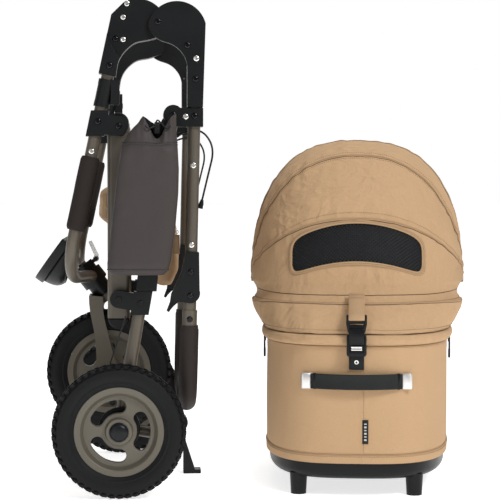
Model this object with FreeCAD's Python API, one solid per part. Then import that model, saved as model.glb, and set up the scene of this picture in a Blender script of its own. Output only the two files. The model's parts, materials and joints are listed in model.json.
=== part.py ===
"""Pet stroller: a folded three-wheel frame with its lift-off carrier standing beside it.

The stroller rolls towards -X, its axles lie along Y and +Z is up. The frame is drawn folded, as it
is stored: it stands on its two rear wheels and a stand foot, with the front wheel tucked between
them. Places on the frame are given from the plane X = 0 and from the floor, and the whole model is
moved at the end, so that the origin lies under the middle of its bounding box.
The carrier is drawn in its own axes, u across, v along and z up, and is then turned and placed.
"""
import FreeCAD, Part
import math
import os

V = FreeCAD.Vector

# ---- driving dimensions, millimetres and degrees -------------------------------------------
# clearances
FIT = 0.05                  # radial clearance of a pin, tube or bearing in its seat
GAP = 0.5                   # side clearance between faces that turn past each other
SEAT = 0.2                  # air between pieces laid against each other
FLOOR_GAP = 2.0             # clearance of the carrier's stacked shells

# frame pivots in the side view, as (X, Z)
HUB_PIVOT = (26.2, 813.3)
LEG_PIVOT = (52.1, 654.9)
RAIL_TOP_PIVOT = (-41.7, 635.3)
RAIL_FOOT_PIVOT = (-42.4, 337.0)
REAR_AXLE = (-41.7, 115.0)

# wheels
WHEEL_R = 115.0
TYRE_W = 44.0
BEAD_R = 76.5
RIM_W = 34.0
BEARING_R = 13.0
BEARING_W = 9.0
AXLE_R = 6.0
SLOT_RADIUS = 42.0
SLOT_W = 23.0
SLOT_ANGLE = 62.0
CAP_R = 16.5
CAP_H = 8.0

# tubes
TUBE_R = 11.0
TUBE_WALL = 1.5
SIDE_Y = 185.0
REAR_WHEEL_Y = SIDE_Y + 50.0   # leaves room for the brake drum beside the leg
PIN_R = 4.0
HEAD_R = 5.5                # rivet and screw heads
HEAD_H = 2.2

# front tubes, leaning 12 degrees, and the steering head
FRONT_REF = (-56.5, 738.6)
FRONT_LEAN = 12.0
FRONT_TOP_Z = 756.0
FRONT_BEND_Z = 374.0
FRONT_BEND_R = 70.0
FOAM_R = TUBE_R + 6.0
FOAM_Z = (456.0, 582.5)
LOCK_Z = (668.0, 715.0)       # the ribbed sleeve between hub and rail clamp
HEAD = (-92.8, 364.0)
HEAD_LEAN = 38.0
HEAD_TUBE_R = 19.0
HEAD_STEP_R = 24.0
STEM_R = 8.0

# front wheel and fork
FRONT_WHEEL = (-63.1, 191.6)
FORK_GAP = TYRE_W / 2 + 4.0   # half the space between the fork's arms
FORK_T = 8.0

# handle tubes, leaning 1.4 degrees, and the U-shaped push bar
HANDLE_REF = (88.2, 627.6)
HANDLE_LEAN = 1.4
PUSH_BAR_Z = 150.5
PUSH_BAR_R = TUBE_R + 2.0
PUSH_BEND_R = 62.0
GRIP_R = PUSH_BAR_R + 3.5
GRIP_TOP_Z = 290.8
SLEEVE_TOP_Z = 317.0

# folding hubs and brackets, as distances from the frame's mid-plane
HUB_IN = 171.0
HUB_OUT = 203.0
DISC_SPLIT = 196.5          # the front disc ends here and the rear disc starts
REAR_HUB_OUT = 206.0
HUB_SWEEP_R = 89.0          # reach of the two discs about the hub pivot

# side rails
RAIL_W = 39.0
RAIL_T = 20.0
RAIL_Y = 160.0
RAIL_TAIL = 55.0            # the rail runs on below its foot pivot
RAIL_HEAD = 19.0

# rear frame
CROSS_Z = 372.0
CROSS_R = 9.0
YOKE = (66.0, 95.0)
YOKE_BEND_R = 60.0
FOOT_REACH = 106.0

# storage bag and its cord lock
NECK_Z = 620.0              # the drawn neck of the bag dips to here
BUTTON_R = 4.5

# brake cables
CABLE_R = 1.7

# carrier
CARRIER_AT = (404.0, 40.0)
CARRIER_YAW = -7.9
BODY_W = 330.0
BODY_L = 640.0
BODY_POWER = 3.2            # exponent of the body's rounded outline
WALL = 6.0
BASE_W = 313.0
BASE_L = 620.0
FOOT_H = 32.0
FOOT_R = 15.0
FOOT_U = 97.5
FOOT_V = 266.0
BODY_BOTTOM = 61.0
BODY_TOP = 262.0
RIM_TOP = 281.0
RIM_W_OUT = 350.0
RIM_L_OUT = 660.0
MAT_T = 25.0

# hood, a hoop outline turned about the cross axis at mid-length
PIVOT_Z = 362.0
PIVOT_PIN_R = 9.0
PIN_PROUD = 2.0
STAY_T = 5.0                # upright straps that carry the pivots
STAY_HALF = 9.0
STAY_ABOVE_PIN = 12.0
HOOD_W = 198.0
HOOD_H = 257.0
HOOD_POWER = 2.45
HOOD_T = 2.5
REAR_HOOD_DROP = 9.0        # the rear hood nests inside the front one
STAY_OUTER = HOOD_W - REAR_HOOD_DROP - HOOD_T - 4.0
SKIRT_FOOT_Z = 283.0
SKIRT_W = 336.0
SKIRT_L = 644.0
SEAM_ANGLE = 94.0
HOOP_T = 3.6
WINDOW_U = 114.0
WINDOW_Z = (401.0, 468.0)
WINDOW_BOW = (16.0, 30.0)   # how far the lower and upper edges drop at the corners
WINDOW_CORNER_R = 12.0

NODES = {}


# ---- helpers -------------------------------------------------------------------------------
def add(name, shape):
    NODES[name] = shape


def at(point, y):
    return V(point[0], y, point[1])


def rod(a, b, radius):
    return Part.makeCylinder(radius, (b - a).Length, a, b - a)


def across(point, y0, y1, radius):
    """A cylinder along Y at an (X, Z) place."""
    return Part.makeCylinder(radius, y1 - y0, V(point[0], y0, point[1]), V(0, 1, 0))


def block(x, y, z):
    return Part.makeBox(x[1] - x[0], y[1] - y[0], z[1] - z[0], V(x[0], y[0], z[0]))


def pair(shape):
    """The near piece and its mirror image across the stroller's mid-plane."""
    return Part.makeCompound([shape, mirrored(shape)])


def mirrored(shape):
    return shape.mirror(V(0, 0, 0), V(0, 1, 0))


def fused(shapes):
    return shapes[0].multiFuse(shapes[1:]).removeSplitter() if len(shapes) > 1 else shapes[0]


def side_plate(start, steps, y0, y1):
    """Extrude an outline in the side view; steps are lines, arcs or curves of (X, Z) points."""
    here = at(start, y0)
    edges = []
    for kind, *points in steps:
        ends = [at(p, y0) for p in points]
        if kind == "line":
            edges.append(Part.LineSegment(here, ends[-1]).toShape())
        if kind == "arc":
            edges.append(Part.Arc(here, ends[0], ends[1]).toShape())
        if kind == "curve":
            curve = Part.BSplineCurve()
            curve.interpolate([here] + ends)
            edges.append(curve.toShape())
        here = ends[-1]
    if here.distanceToPoint(at(start, y0)) > 1e-6:
        edges.append(Part.LineSegment(here, at(start, y0)).toShape())
    return Part.Face(Part.Wire(edges)).extrude(V(0, y1 - y0, 0))


def stadium(a, b, radius, y0, y1):
    """A flat link with round ends between two (X, Z) places."""
    run = math.hypot(b[0] - a[0], b[1] - a[1])
    nx, nz = -(b[1] - a[1]) / run * radius, (b[0] - a[0]) / run * radius
    tx, tz = (b[0] - a[0]) / run * radius, (b[1] - a[1]) / run * radius
    first = (a[0] + nx, a[1] + nz)
    steps = [("arc", (a[0] - tx, a[1] - tz), (a[0] - nx, a[1] - nz)),
             ("line", (b[0] - nx, b[1] - nz)),
             ("arc", (b[0] + tx, b[1] + tz), (b[0] + nx, b[1] + nz))]
    return side_plate(first, steps, y0, y1)


def bent_path(points, radii):
    """Straight runs joined by tangent arcs, one radius for each inner point."""
    edges = []
    here = points[0]
    for i, radius in enumerate(radii):
        before, corner, after = points[i], points[i + 1], points[i + 2]
        back = (before - corner).normalize()
        ahead = (after - corner).normalize()
        half = back.getAngle(ahead) / 2
        reach = radius / math.tan(half)
        middle = (back + ahead).normalize() * (radius / math.sin(half))
        top = corner + middle - (back + ahead).normalize() * radius
        edges.append(Part.LineSegment(here, corner + back * reach).toShape())
        edges.append(Part.Arc(corner + back * reach, top, corner + ahead * reach).toShape())
        here = corner + ahead * reach
    edges.append(Part.LineSegment(here, points[-1]).toShape())
    return Part.Wire(edges)


def bar_along(path, radius):
    start = path.Edges[0].Vertexes[0].Point
    along = path.Edges[0].tangentAt(path.Edges[0].FirstParameter)
    ring = Part.Wire([Part.Circle(start, along, radius).toShape()])
    return path.makePipeShell([ring], True, False)


def pipe(path, outer, inner):
    return bar_along(path, outer).cut(bar_along(path, inner))


def heads(places, y):
    """Rivet and screw heads on the outer face at distance y, standing clear of the face."""
    out = []
    for place in places:
        head = across(place, -y - HEAD_H, -y, HEAD_R)
        out.append(head.makeFillet(HEAD_H * 0.6, [e for e in head.Edges if e.BoundBox.YMax < -y - 1]))
    return out


def on_line(ref, lean, z):
    """X of a leaning tube's axis at a height."""
    return ref[0] + math.tan(math.radians(lean)) * (z - ref[1])


def front_at(z):
    return (on_line(FRONT_REF, FRONT_LEAN, z), z)


def handle_at(z):
    return (on_line(HANDLE_REF, HANDLE_LEAN, z), z)


def leg_at(z):
    slope = (LEG_PIVOT[0] - REAR_AXLE[0]) / (LEG_PIVOT[1] - REAR_AXLE[1])
    return (REAR_AXLE[0] + slope * (z - REAR_AXLE[1]), z)


def from_hub(dx, dz):
    return (HUB_PIVOT[0] + dx, HUB_PIVOT[1] + dz)


def head_point(along, right, y=0.0):
    """A point down the steering axis from the head's centre and to its right."""
    lean = math.radians(HEAD_LEAN)
    x = HEAD[0] + along * math.sin(lean) + right * math.cos(lean)
    z = HEAD[1] - along * math.cos(lean) + right * math.sin(lean)
    return V(x, y, z)


# ---- wheels --------------------------------------------------------------------------------
def turned(points, centre):
    """Turn an (r, y) outline about the axle line."""
    base = [V(centre[0] + r, y, centre[1]) for r, y in points]
    face = Part.Face(Part.makePolygon(base + [base[0]]))
    return face.revolve(V(centre[0], 0, centre[1]), V(0, 1, 0), 360)


def tyre(centre, mid):
    half = TYRE_W / 2
    bead = BEAD_R + FIT
    top = WHEEL_R

    def p(r, y):
        return V(centre[0] + r, mid + y, centre[1])

    edges = [Part.LineSegment(p(bead, half * 0.7), p(bead, -half * 0.7)).toShape(),
             Part.Arc(p(bead, -half * 0.7), p((bead + top) / 2, -half), p(top - 6, -half * 0.78)).toShape(),
             Part.Arc(p(top - 6, -half * 0.78), p(top, 0), p(top - 6, half * 0.78)).toShape(),
             Part.Arc(p(top - 6, half * 0.78), p((bead + top) / 2, half), p(bead, half * 0.7)).toShape()]
    face = Part.Face(Part.Wire(edges))
    return face.revolve(V(centre[0], 0, centre[1]), V(0, 1, 0), 360)


def rim(centre, mid):
    """Hub barrel, web and bead seat, with three kidney slots through the web."""
    half = RIM_W / 2
    seat = BEARING_R + FIT
    outline = [(seat, -half), (22, -half), (24, -6), (60, -5), (66, -half + 1), (BEAD_R, -half),
               (BEAD_R, half), (71, half), (67, 11), (60, 7), (24, 7), (22, half), (seat, half)]
    body = turned([(r, mid + y) for r, y in outline], centre)
    inner, outer = SLOT_RADIUS - SLOT_W / 2, SLOT_RADIUS + SLOT_W / 2
    for turn in (0.0, 120.0, 240.0):
        ring = turned([(inner, mid - half - 1), (outer, mid - half - 1),
                       (outer, mid + half + 1), (inner, mid + half + 1)], centre)
        middle = math.radians(turn)
        half_angle = math.radians(SLOT_ANGLE / 2)
        reach = outer * 2
        wedge = side_plate(centre, [("line", (centre[0] + reach * math.cos(middle - half_angle),
                                              centre[1] + reach * math.sin(middle - half_angle))),
                                    ("line", (centre[0] + reach * math.cos(middle + half_angle),
                                              centre[1] + reach * math.sin(middle + half_angle)))],
                           mid - half - 2, mid + half + 2)
        slot = ring.common(wedge)
        for end in (middle - half_angle, middle + half_angle):
            place = (centre[0] + SLOT_RADIUS * math.cos(end), centre[1] + SLOT_RADIUS * math.sin(end))
            slot = slot.fuse(across(place, mid - half - 1, mid + half + 1, SLOT_W / 2))
        body = body.cut(slot)
    return body


def bearings(centre, mid):
    """The two bearings of one wheel, each a plain ring between axle and hub."""
    rings = []
    for side in (-1, 1):
        y = sorted((mid + side * RIM_W / 2, mid + side * (RIM_W / 2 - BEARING_W)))
        ring = across(centre, y[0], y[1], BEARING_R)
        rings.append(ring.cut(across(centre, y[0], y[1], AXLE_R + FIT)))
    return Part.makeCompound(rings)


def dome(centre, face_y, out):
    """A hub cap on the rim's face, facing -Y when out is -1."""
    base = across(centre, *sorted((face_y, face_y + out * CAP_H)), CAP_R)
    edges = [e for e in base.Edges if abs(e.BoundBox.YMax - (face_y + out * CAP_H)) < 0.1]
    return base.makeFillet(CAP_H * 0.75, edges)


def wheel(name, centre, mid, caps):
    add("tyre_" + name, tyre(centre, mid))
    add("rim_" + name, rim(centre, mid))
    add("bearings_" + name, bearings(centre, mid))
    if caps:
        add("hub_cap_" + name, dome(centre, mid + caps * (RIM_W / 2 + 0.3), caps))


# ---- rear frame ----------------------------------------------------------------------------
def rear_frame():
    boss_r = 17.0
    hollow = TUBE_R - TUBE_WALL
    axle_end = at(REAR_AXLE, -SIDE_Y)
    pivot_end = at(leg_at(LEG_PIVOT[1] + 12), -SIDE_Y)
    leg = rod(axle_end, pivot_end, TUBE_R).cut(rod(axle_end, pivot_end, hollow))
    leg = leg.cut(across(REAR_AXLE, -300, 300, boss_r + FIT))
    leg = leg.cut(across(LEG_PIVOT, -300, 300, PIN_R + FIT))
    add("rear_legs", pair(leg))

    yoke = bent_path([V(REAR_AXLE[0] + boss_r - 4, -SIDE_Y, REAR_AXLE[1] - 3), at(YOKE, -SIDE_Y),
                      at(YOKE, SIDE_Y), V(REAR_AXLE[0] + boss_r - 4, SIDE_Y, REAR_AXLE[1] - 3)],
                     [YOKE_BEND_R, YOKE_BEND_R])
    bosses = across(REAR_AXLE, -SIDE_Y - 13, -SIDE_Y + 13, boss_r)
    bosses = bosses.cut(across(REAR_AXLE, -300, 300, AXLE_R + FIT))
    tube = pipe(yoke, TUBE_R - 1, TUBE_R - 1 - TUBE_WALL)
    add("rear_yoke", tube.cut(across(REAR_AXLE, -300, 300, boss_r + FIT)))

    x, z = leg_at(CROSS_Z)
    cross = rod(V(x, -SIDE_Y, z), V(x, SIDE_Y, z), CROSS_R)
    for side in (-1, 1):
        cross = cross.cut(rod(at(leg_at(REAR_AXLE[1]), side * SIDE_Y),
                              at(leg_at(LEG_PIVOT[1]), side * SIDE_Y), TUBE_R + FIT))
    keep = block((x - 50, x + 50), (-SIDE_Y + 1, SIDE_Y - 1), (z - 50, z + 50))
    add("cross_tube", cross.common(keep))

    axles = across(REAR_AXLE, -REAR_WHEEL_Y - RIM_W / 2, -SIDE_Y + 13, AXLE_R)
    add("stub_axles", pair(axles))
    drum = across(REAR_AXLE, -REAR_WHEEL_Y + TYRE_W / 2 + 3, -SIDE_Y - 13.5, 36.0)
    drum = drum.cut(across(REAR_AXLE, -300, 300, AXLE_R + FIT))
    arm_tip = (REAR_AXLE[0] - 16.0, REAR_AXLE[1] + 104.0)
    arm = stadium((REAR_AXLE[0] - 12, REAR_AXLE[1] + 45), arm_tip, 6.0, -SIDE_Y - 19, -SIDE_Y - 15)
    arm = arm.cut(across(REAR_AXLE, -300, 300, 36.0 + FIT))
    add("brake_drums", pair(Part.makeCompound([bosses, drum, arm])))

    top = leg_at(350.0)
    bottom = leg_at(310.0)
    box = side_plate((bottom[0] - 15, 310.0), [("line", (bottom[0] + 17, 310.0)),
                                               ("line", (top[0] + 17, 350.0)),
                                               ("line", (top[0] - 15, 350.0))],
                     -SIDE_Y - 15.5, -SIDE_Y + 14)
    lug = stadium(RAIL_FOOT_PIVOT, (leg_at(331.0)[0] - 5, 331.0), 15.0, -SIDE_Y - 15.5, -SIDE_Y + 14)
    plug = across(RAIL_FOOT_PIVOT, -SIDE_Y + 14, -RAIL_Y + RAIL_T / 2 - 1, PIN_R)
    bracket = fused([box, lug, plug])
    bore = rod(at(leg_at(REAR_AXLE[1]), -SIDE_Y), at(leg_at(LEG_PIVOT[1]), -SIDE_Y), TUBE_R + FIT)
    bracket = bracket.cut(bore)
    upper = side_plate((top[0] - 11, 350.5), [("line", (top[0] + 24, 350.5)), ("line", (top[0] + 27, 385.0)),
                                              ("line", (top[0] - 7, 385.0))],
                       -SIDE_Y - 14, -SIDE_Y + 13).cut(bore)
    x, z = leg_at(CROSS_Z)
    upper = upper.cut(rod(V(x, -SIDE_Y, z), V(x, 0, z), CROSS_R + FIT))
    rivets = heads([RAIL_FOOT_PIVOT, leg_at(330.0)], SIDE_Y + 15.5)
    add("rail_brackets", pair(Part.makeCompound([bracket, upper] + rivets)))

    start = V(bottom[0] - 22, -SIDE_Y - 17, 309.0)
    add("drum_cables", pair(rod(start, V(arm_tip[0], -SIDE_Y - 17, arm_tip[1] + 6.3), 1.2)))

    clamp = across(YOKE, -15, 15, 16.0).cut(across(YOKE, -20, 20, TUBE_R - 1 + FIT))
    post_x = YOKE[0] + 7.5
    foot = side_plate((post_x, 0), [("line", (FOOT_REACH, 0)), ("line", (FOOT_REACH, 7.5)),
                                    ("line", (FOOT_REACH - 11, 7.5)), ("line", (post_x + 4, 62.0)),
                                    ("line", (post_x + 4, YOKE[1] - 8)), ("line", (post_x, YOKE[1] - 8))],
                      -14, 14)
    foot = foot.cut(across(YOKE, -20, 20, 15.9))
    add("stand_foot", fused([clamp, foot]))


def soft_goods():
    """The storage bag on the near rear leg and the folded basket between the legs."""
    near, far = -SIDE_Y - 24.0, -SIDE_Y - 72.0
    outline = [("line", (8.0, NECK_Z)), ("line", (40.0, NECK_Z)), ("line", (56.0, 652.0)), ("line", (61.0, 545.0)), ("line", (43.0, 392.0)),
               ("line", (30.0, 378.0)), ("line", (-52.0, 378.0)), ("line", (-61.0, 392.0)),
               ("line", (-38.0, 590.0))]
    bag = side_plate((-6.0, 648.0), outline, far, near)
    edges = [e for e in bag.Edges if abs(e.BoundBox.YMax - far) < 0.1 and e.BoundBox.YLength < 0.1]
    add("storage_bag", bag.makeFillet(6.0, edges))
    strap_z = 600.0
    loops = []
    for height in (strap_z, strap_z - 190):
        x, z = leg_at(height)
        ring = Part.makeCylinder(TUBE_R + 2.6, 18, V(x, -SIDE_Y, z), V(0.171, 0, 0.985))
        ring = ring.cut(rod(at(leg_at(REAR_AXLE[1]), -SIDE_Y), at(leg_at(LEG_PIVOT[1]), -SIDE_Y),
                            TUBE_R + FIT))
        tab = block((x - 7, x + 7), (near + 0.1, -SIDE_Y - TUBE_R - 0.4), (z + 1, z + 16))
        loops.append(fused([ring, tab]))
    add("bag_straps", Part.makeCompound(loops))
    seat = V(24.0, far + 24.0, NECK_Z + 0.5)
    lock = Part.makeCylinder(8.0, 16.0, seat, V(0, 0, 1))
    hole = Part.makeCylinder(BUTTON_R + FIT, 11.0, seat + V(0, 0, 5.5), V(0, 0, 1))
    add("cord_lock", lock.cut(hole))
    add("cord_lock_button", Part.makeCylinder(BUTTON_R, 11.0, seat + V(0, 0, 9.0), V(0, 0, 1)))

    folds = side_plate((-4.0, 388.0), [("line", (12.0, 366.0)), ("line", (26.0, 354.0)),
                                       ("line", (50.0, 354.0)), ("line", (62.0, 385.0)),
                                       ("line", (62.0, 450.0)), ("line", (36.0, 560.0)),
                                       ("line", (-20.0, 560.0)), ("line", (-80.0, 522.0)),
                                       ("line", (-80.0, 470.0)), ("line", (-14.0, 440.0))], -140, 140)
    x, z = leg_at(CROSS_Z)
    folds = folds.cut(rod(V(x, -200, z), V(x, 200, z), TUBE_R + 1.5))
    add("basket", folds)


# ---- handle --------------------------------------------------------------------------------
def handle():
    top = handle_at(746.0)
    hollow = TUBE_R - TUBE_WALL
    low, high = at(handle_at(232.0), -SIDE_Y), at(top, -SIDE_Y)
    add("handle_tubes", pair(rod(low, high, TUBE_R).cut(rod(low, high, hollow))))

    corner = handle_at(PUSH_BAR_Z)
    sleeve = handle_at(SLEEVE_TOP_Z)
    bar_path = bent_path([at(sleeve, -SIDE_Y), at(corner, -SIDE_Y), at(corner, SIDE_Y),
                          at(sleeve, SIDE_Y)], [PUSH_BEND_R, PUSH_BEND_R])
    add("push_bar", pipe(bar_path, PUSH_BAR_R, TUBE_R + FIT))
    grip_end = handle_at(GRIP_TOP_Z)
    grip_path = bent_path([at(grip_end, -SIDE_Y), at(corner, -SIDE_Y), at(corner, SIDE_Y),
                           at(grip_end, SIDE_Y)], [PUSH_BEND_R, PUSH_BEND_R])
    add("grip_cover", pipe(grip_path, GRIP_R, PUSH_BAR_R + FIT))

    tube_bore = rod(at(handle_at(200.0), -SIDE_Y), at(top, -SIDE_Y), TUBE_R + FIT)
    inner = [(-9, -22), (3, -31), (25, -39), (40.6, -52), (50.2, -77)]
    shell = side_plate(from_hub(-16, -1.5),
                       [("arc", from_hub(31, 35.5), from_hub(81.8, -2.3)),
                        ("line", (handle_at(668.0)[0] + 14, 668.0)),
                        ("line", (handle_at(668.0)[0] - 12.8, 668.0)),
                        ("line", from_hub(*inner[-1])),
                        ("curve", *[from_hub(*p) for p in reversed(inner[:-1])], from_hub(-16, -1.5))],
                       -REAR_HUB_OUT, -HUB_IN)
    pocket = across(HUB_PIVOT, -DISC_SPLIT - GAP, -HUB_IN + 1, HUB_SWEEP_R)
    hub = shell.cut(pocket).cut(tube_bore).cut(across(HUB_PIVOT, -300, 0, PIN_R + FIT))
    add("rear_hubs", pair(hub))

    x0 = LEG_PIVOT[0]
    right = handle_at(650.0)[0] + 15
    plates = []
    for y0, y1 in ((-202.0, -SIDE_Y - TUBE_R - GAP), (-SIDE_Y + TUBE_R + GAP, -HUB_IN + 3.5)):
        y0, y1 = min(y0, y1), max(y0, y1)
        lobe = across(LEG_PIVOT, y0, y1, 17.0)
        arm = block((x0, right), (y0, y1), (634.6, 666.8))
        plates.append(fused([lobe, arm]))
    solid = block((handle_at(650.0)[0] - 14, right), (-202.0, -HUB_IN + 3.5), (634.6, 666.8))
    pin = across(LEG_PIVOT, -202.0, -HUB_IN + 3.5, PIN_R)
    clevis = fused(plates + [solid, pin]).cut(tube_bore)
    add("leg_clevises", pair(clevis))

    housing = side_plate((handle_at(394)[0] - 9, 420.0),
                         [("line", (handle_at(394)[0] + 14, 418.0)),
                          ("line", (handle_at(350)[0] + 16, 352.0)),
                          ("arc", (handle_at(336)[0] + 11, 334.0), (handle_at(336)[0] - 2, 330.0)),
                          ("line", (handle_at(336)[0] - 14, 332.0)),
                          ("line", (handle_at(350)[0] - 35, 332.0)),
                          ("line", (handle_at(350)[0] - 33, 345.0)),
                          ("line", (handle_at(394)[0] - 16, 385.0))], -SIDE_Y - 15, -SIDE_Y + 14)
    slot = block((20, handle_at(350)[0] - 12.5), (-SIDE_Y - 6, -SIDE_Y + 6), (320, 358))
    lever_pin = (handle_at(350)[0] - 22, 341.0)
    housing = housing.cut(slot).cut(tube_bore).fuse(across(lever_pin, -SIDE_Y - 8, -SIDE_Y + 8, 2.0))
    add("lever_housings", pair(housing))

    blade = side_plate((lever_pin[0] - 6, lever_pin[1] + 7),
                       [("line", (lever_pin[0] + 6, lever_pin[1] + 7)),
                        ("line", (lever_pin[0] + 6, lever_pin[1] - 7)),
                        ("curve", (lever_pin[0] - 6, lever_pin[1] - 16), (lever_pin[0] - 15, lever_pin[1] - 27)),
                        ("line", (lever_pin[0] - 19, lever_pin[1] - 25)),
                        ("curve", (lever_pin[0] - 13, lever_pin[1] - 9), (lever_pin[0] - 6, lever_pin[1] + 7))],
                       -SIDE_Y - 5.5, -SIDE_Y + 5.5)
    blade = blade.cut(across(lever_pin, -300, 0, 2.0 + FIT))
    add("brake_lever_left", blade)
    add("brake_lever_right", mirrored(blade))

    hub_screws = [from_hub(65.6, -62.3), from_hub(64.1, -97.5), from_hub(50.2, -39.9)]
    clevis_screws = [(x0, LEG_PIVOT[1]), (73.5, 651.6), handle_at(652.8)]
    tube_rivets = [handle_at(567.9), handle_at(418.4 + 12)]
    screws = heads(hub_screws, REAR_HUB_OUT) + heads(clevis_screws, 202.0)
    screws += heads([handle_at(384.0), handle_at(343.0)], SIDE_Y + 15)
    screws += [head.cut(tube_bore) for head in heads(tube_rivets, SIDE_Y + TUBE_R - 1.0)]
    add("handle_screws", pair(Part.makeCompound(screws)))
    brake_cables()


def brake_cables():
    """One cable on each side, looping out of the handle tube and back in below the clevis."""
    y_tube, y_in = SIDE_Y, SIDE_Y - TUBE_R - 5.0
    route = [V(101.5, -y_tube, 505.0), V(113.0, -y_tube, 553.0), V(124.0, -y_tube + 3, 597.0),
             V(106.0, -y_tube + 10, 628.0), V(80.0, -y_in, 630.2), V(56.0, -y_in + 1, 619.0)]
    lengths = [route[i].distanceToPoint(route[i + 1]) for i in range(len(route) - 1)]
    radii = []
    for i in range(1, len(route) - 1):
        turn = math.pi - (route[i - 1] - route[i]).getAngle(route[i + 1] - route[i])
        radii.append(0.45 * min(lengths[i - 1], lengths[i]) / math.tan(turn / 2))
    print("cable radii", [round(r, 1) for r in radii])
    path = bent_path(route, radii)
    cable = bar_along(path, CABLE_R)
    area = math.pi * CABLE_R ** 2
    print("cable length", round(path.Length, 1), "volume ratio", round(cable.Volume / area / path.Length, 3))
    x, z = handle_at(500.0)
    low_clip = block((x + TUBE_R - 3, x + TUBE_R + 9.0), (-SIDE_Y - 5, -SIDE_Y + 5), (491.0, 504.0))
    low_clip = low_clip.cut(rod(at(handle_at(480), -SIDE_Y), at(handle_at(520), -SIDE_Y), TUBE_R + FIT))
    low_clip = low_clip.cut(block((0, 200), (-300, 0), (504.0, 520.0)))
    add("brake_cables", pair(Part.makeCompound([cable, low_clip])))


# ---- front frame ---------------------------------------------------------------------------
def front_frame():
    top = front_at(FRONT_TOP_Z)
    path = front_path()
    head_axis = rod(head_point(-60, 0), head_point(60, 0), HEAD_TUBE_R + FIT)
    tube = pipe(path, TUBE_R, TUBE_R - TUBE_WALL).cut(head_axis)
    add("front_tubes", pair(tube))

    bore = rod(at(front_at(420.0), -SIDE_Y), at(top, -SIDE_Y), TUBE_R + FIT)
    edge = [(-69.3, -73.3), (-63.5, -58.9), (-52.1, -44.7), (-37.7, -34.6), (-17.5, -30.3), (-1.9, -25.9),
            (12.0, -20.0)]
    low_left = (on_line(FRONT_REF, FRONT_LEAN, 725.6) - 16.2, 725.6)
    low_right = (on_line(FRONT_REF, FRONT_LEAN, 719.7) + 14.4, 719.7)
    shell = side_plate(from_hub(-79.8, 13.0),
                       [("line", from_hub(-59.0, 33.4)),
                        ("arc", from_hub(-20.0, 38.2), from_hub(15.8, -9.6)),
                        ("line", from_hub(*edge[-1])),
                        ("curve", *[from_hub(*p) for p in reversed(edge[:-1])]),
                        ("line", low_right), ("line", low_left)], -HUB_OUT, -HUB_IN)
    relief = across(HUB_PIVOT, -HUB_OUT - 1, -DISC_SPLIT, HUB_SWEEP_R)
    pin = across(HUB_PIVOT, -REAR_HUB_OUT, -HUB_IN, PIN_R)
    disc_screws = [from_hub(-53.0, 31.5), from_hub(-59.6, 8.6), from_hub(-59.5, -29.5), front_at(784.7)]
    hub = fused([shell.cut(relief), pin]).cut(bore)
    for place in disc_screws:
        hub = hub.cut(across(place, -DISC_SPLIT - 1, -DISC_SPLIT + HEAD_H, HEAD_R + FIT))
    add("front_hubs", pair(hub))

    x, z = front_at(640.0)
    lean = math.tan(math.radians(FRONT_LEAN))
    box = side_plate((x - 16 + lean * 22, z + 22), [("line", (x - 16 - lean * 22, z - 22)),
                                                    ("line", (x + 15 - lean * 22, z - 22)),
                                                    ("line", (x + 15 + lean * 22, z + 22))],
                     -SIDE_Y - 15.5, -HUB_IN)
    lug = stadium((x + 4, z - 2), RAIL_TOP_PIVOT, 17.0, -SIDE_Y - 15.5, -HUB_IN)
    add("rail_clamps", pair(fused([box, lug]).cut(bore)))

    def around(z0, z1, outer, inner):
        a, b = at(front_at(z0), -SIDE_Y), at(front_at(z1), -SIDE_Y)
        return rod(a, b, outer).cut(rod(a, b, inner))

    add("foam_sleeves", pair(around(FOAM_Z[0], FOAM_Z[1], FOAM_R, TUBE_R + FIT)))
    rings = [around(LOCK_Z[0], LOCK_Z[1], 13.6, TUBE_R + FIT)]
    rings += [around(z0, z0 + 9.0, 14.0, 13.0) for z0 in (LOCK_Z[0], LOCK_Z[1] - 9.0)]
    x, z = front_at(690.0)
    wrap = block((x + 12.0, x + 27), (-SIDE_Y - 12, -SIDE_Y + 4), (z - 18, z + 24))
    wrap = wrap.cut(rod(at(front_at(640.0), -SIDE_Y), at(front_at(740.0), -SIDE_Y), 14.0 + FIT))
    add("lock_sleeves", pair(Part.makeCompound([fused(rings), wrap])))

    axis_a, axis_b = head_point(-30, 0), head_point(36, 0)
    barrel = rod(axis_a, axis_b, HEAD_TUBE_R)
    step = rod(head_point(-14, 0), head_point(12, 0), HEAD_STEP_R)
    barrel = barrel.fuse(step.common(half_space_front()))
    barrel = barrel.cut(rod(head_point(-31, 0), head_point(37, 0), STEM_R + FIT))
    add("steering_housing", barrel.cut(clear_of(path)))

    tray()
    screws = heads([HUB_PIVOT], REAR_HUB_OUT + 0.3) + heads([front_at(738.6)], HUB_OUT)
    screws += [head.cut(bore) for head in heads(disc_screws, DISC_SPLIT - HEAD_H)]
    screws += heads([front_at(643.1), RAIL_TOP_PIVOT], SIDE_Y + 15.5)
    studs = [head.cut(bore) for head in heads([front_at(591.9)], SIDE_Y + TUBE_R - 1.0)]
    add("front_screws", pair(Part.makeCompound(screws + studs)))


def half_space_front():
    """Everything from the steering axis forwards, where the clamp block stands out."""
    return side_plate((HEAD[0] - 80, HEAD[1] - 90), [("line", (HEAD[0] + 12, HEAD[1] - 30)),
                                                     ("line", (HEAD[0] + 40, HEAD[1] + 50)),
                                                     ("line", (HEAD[0] - 80, HEAD[1] + 90))], -60, 60)


def clear_of(path):
    tube = bar_along(path, TUBE_R + FIT)
    return tube.fuse(mirrored(tube))


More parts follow.
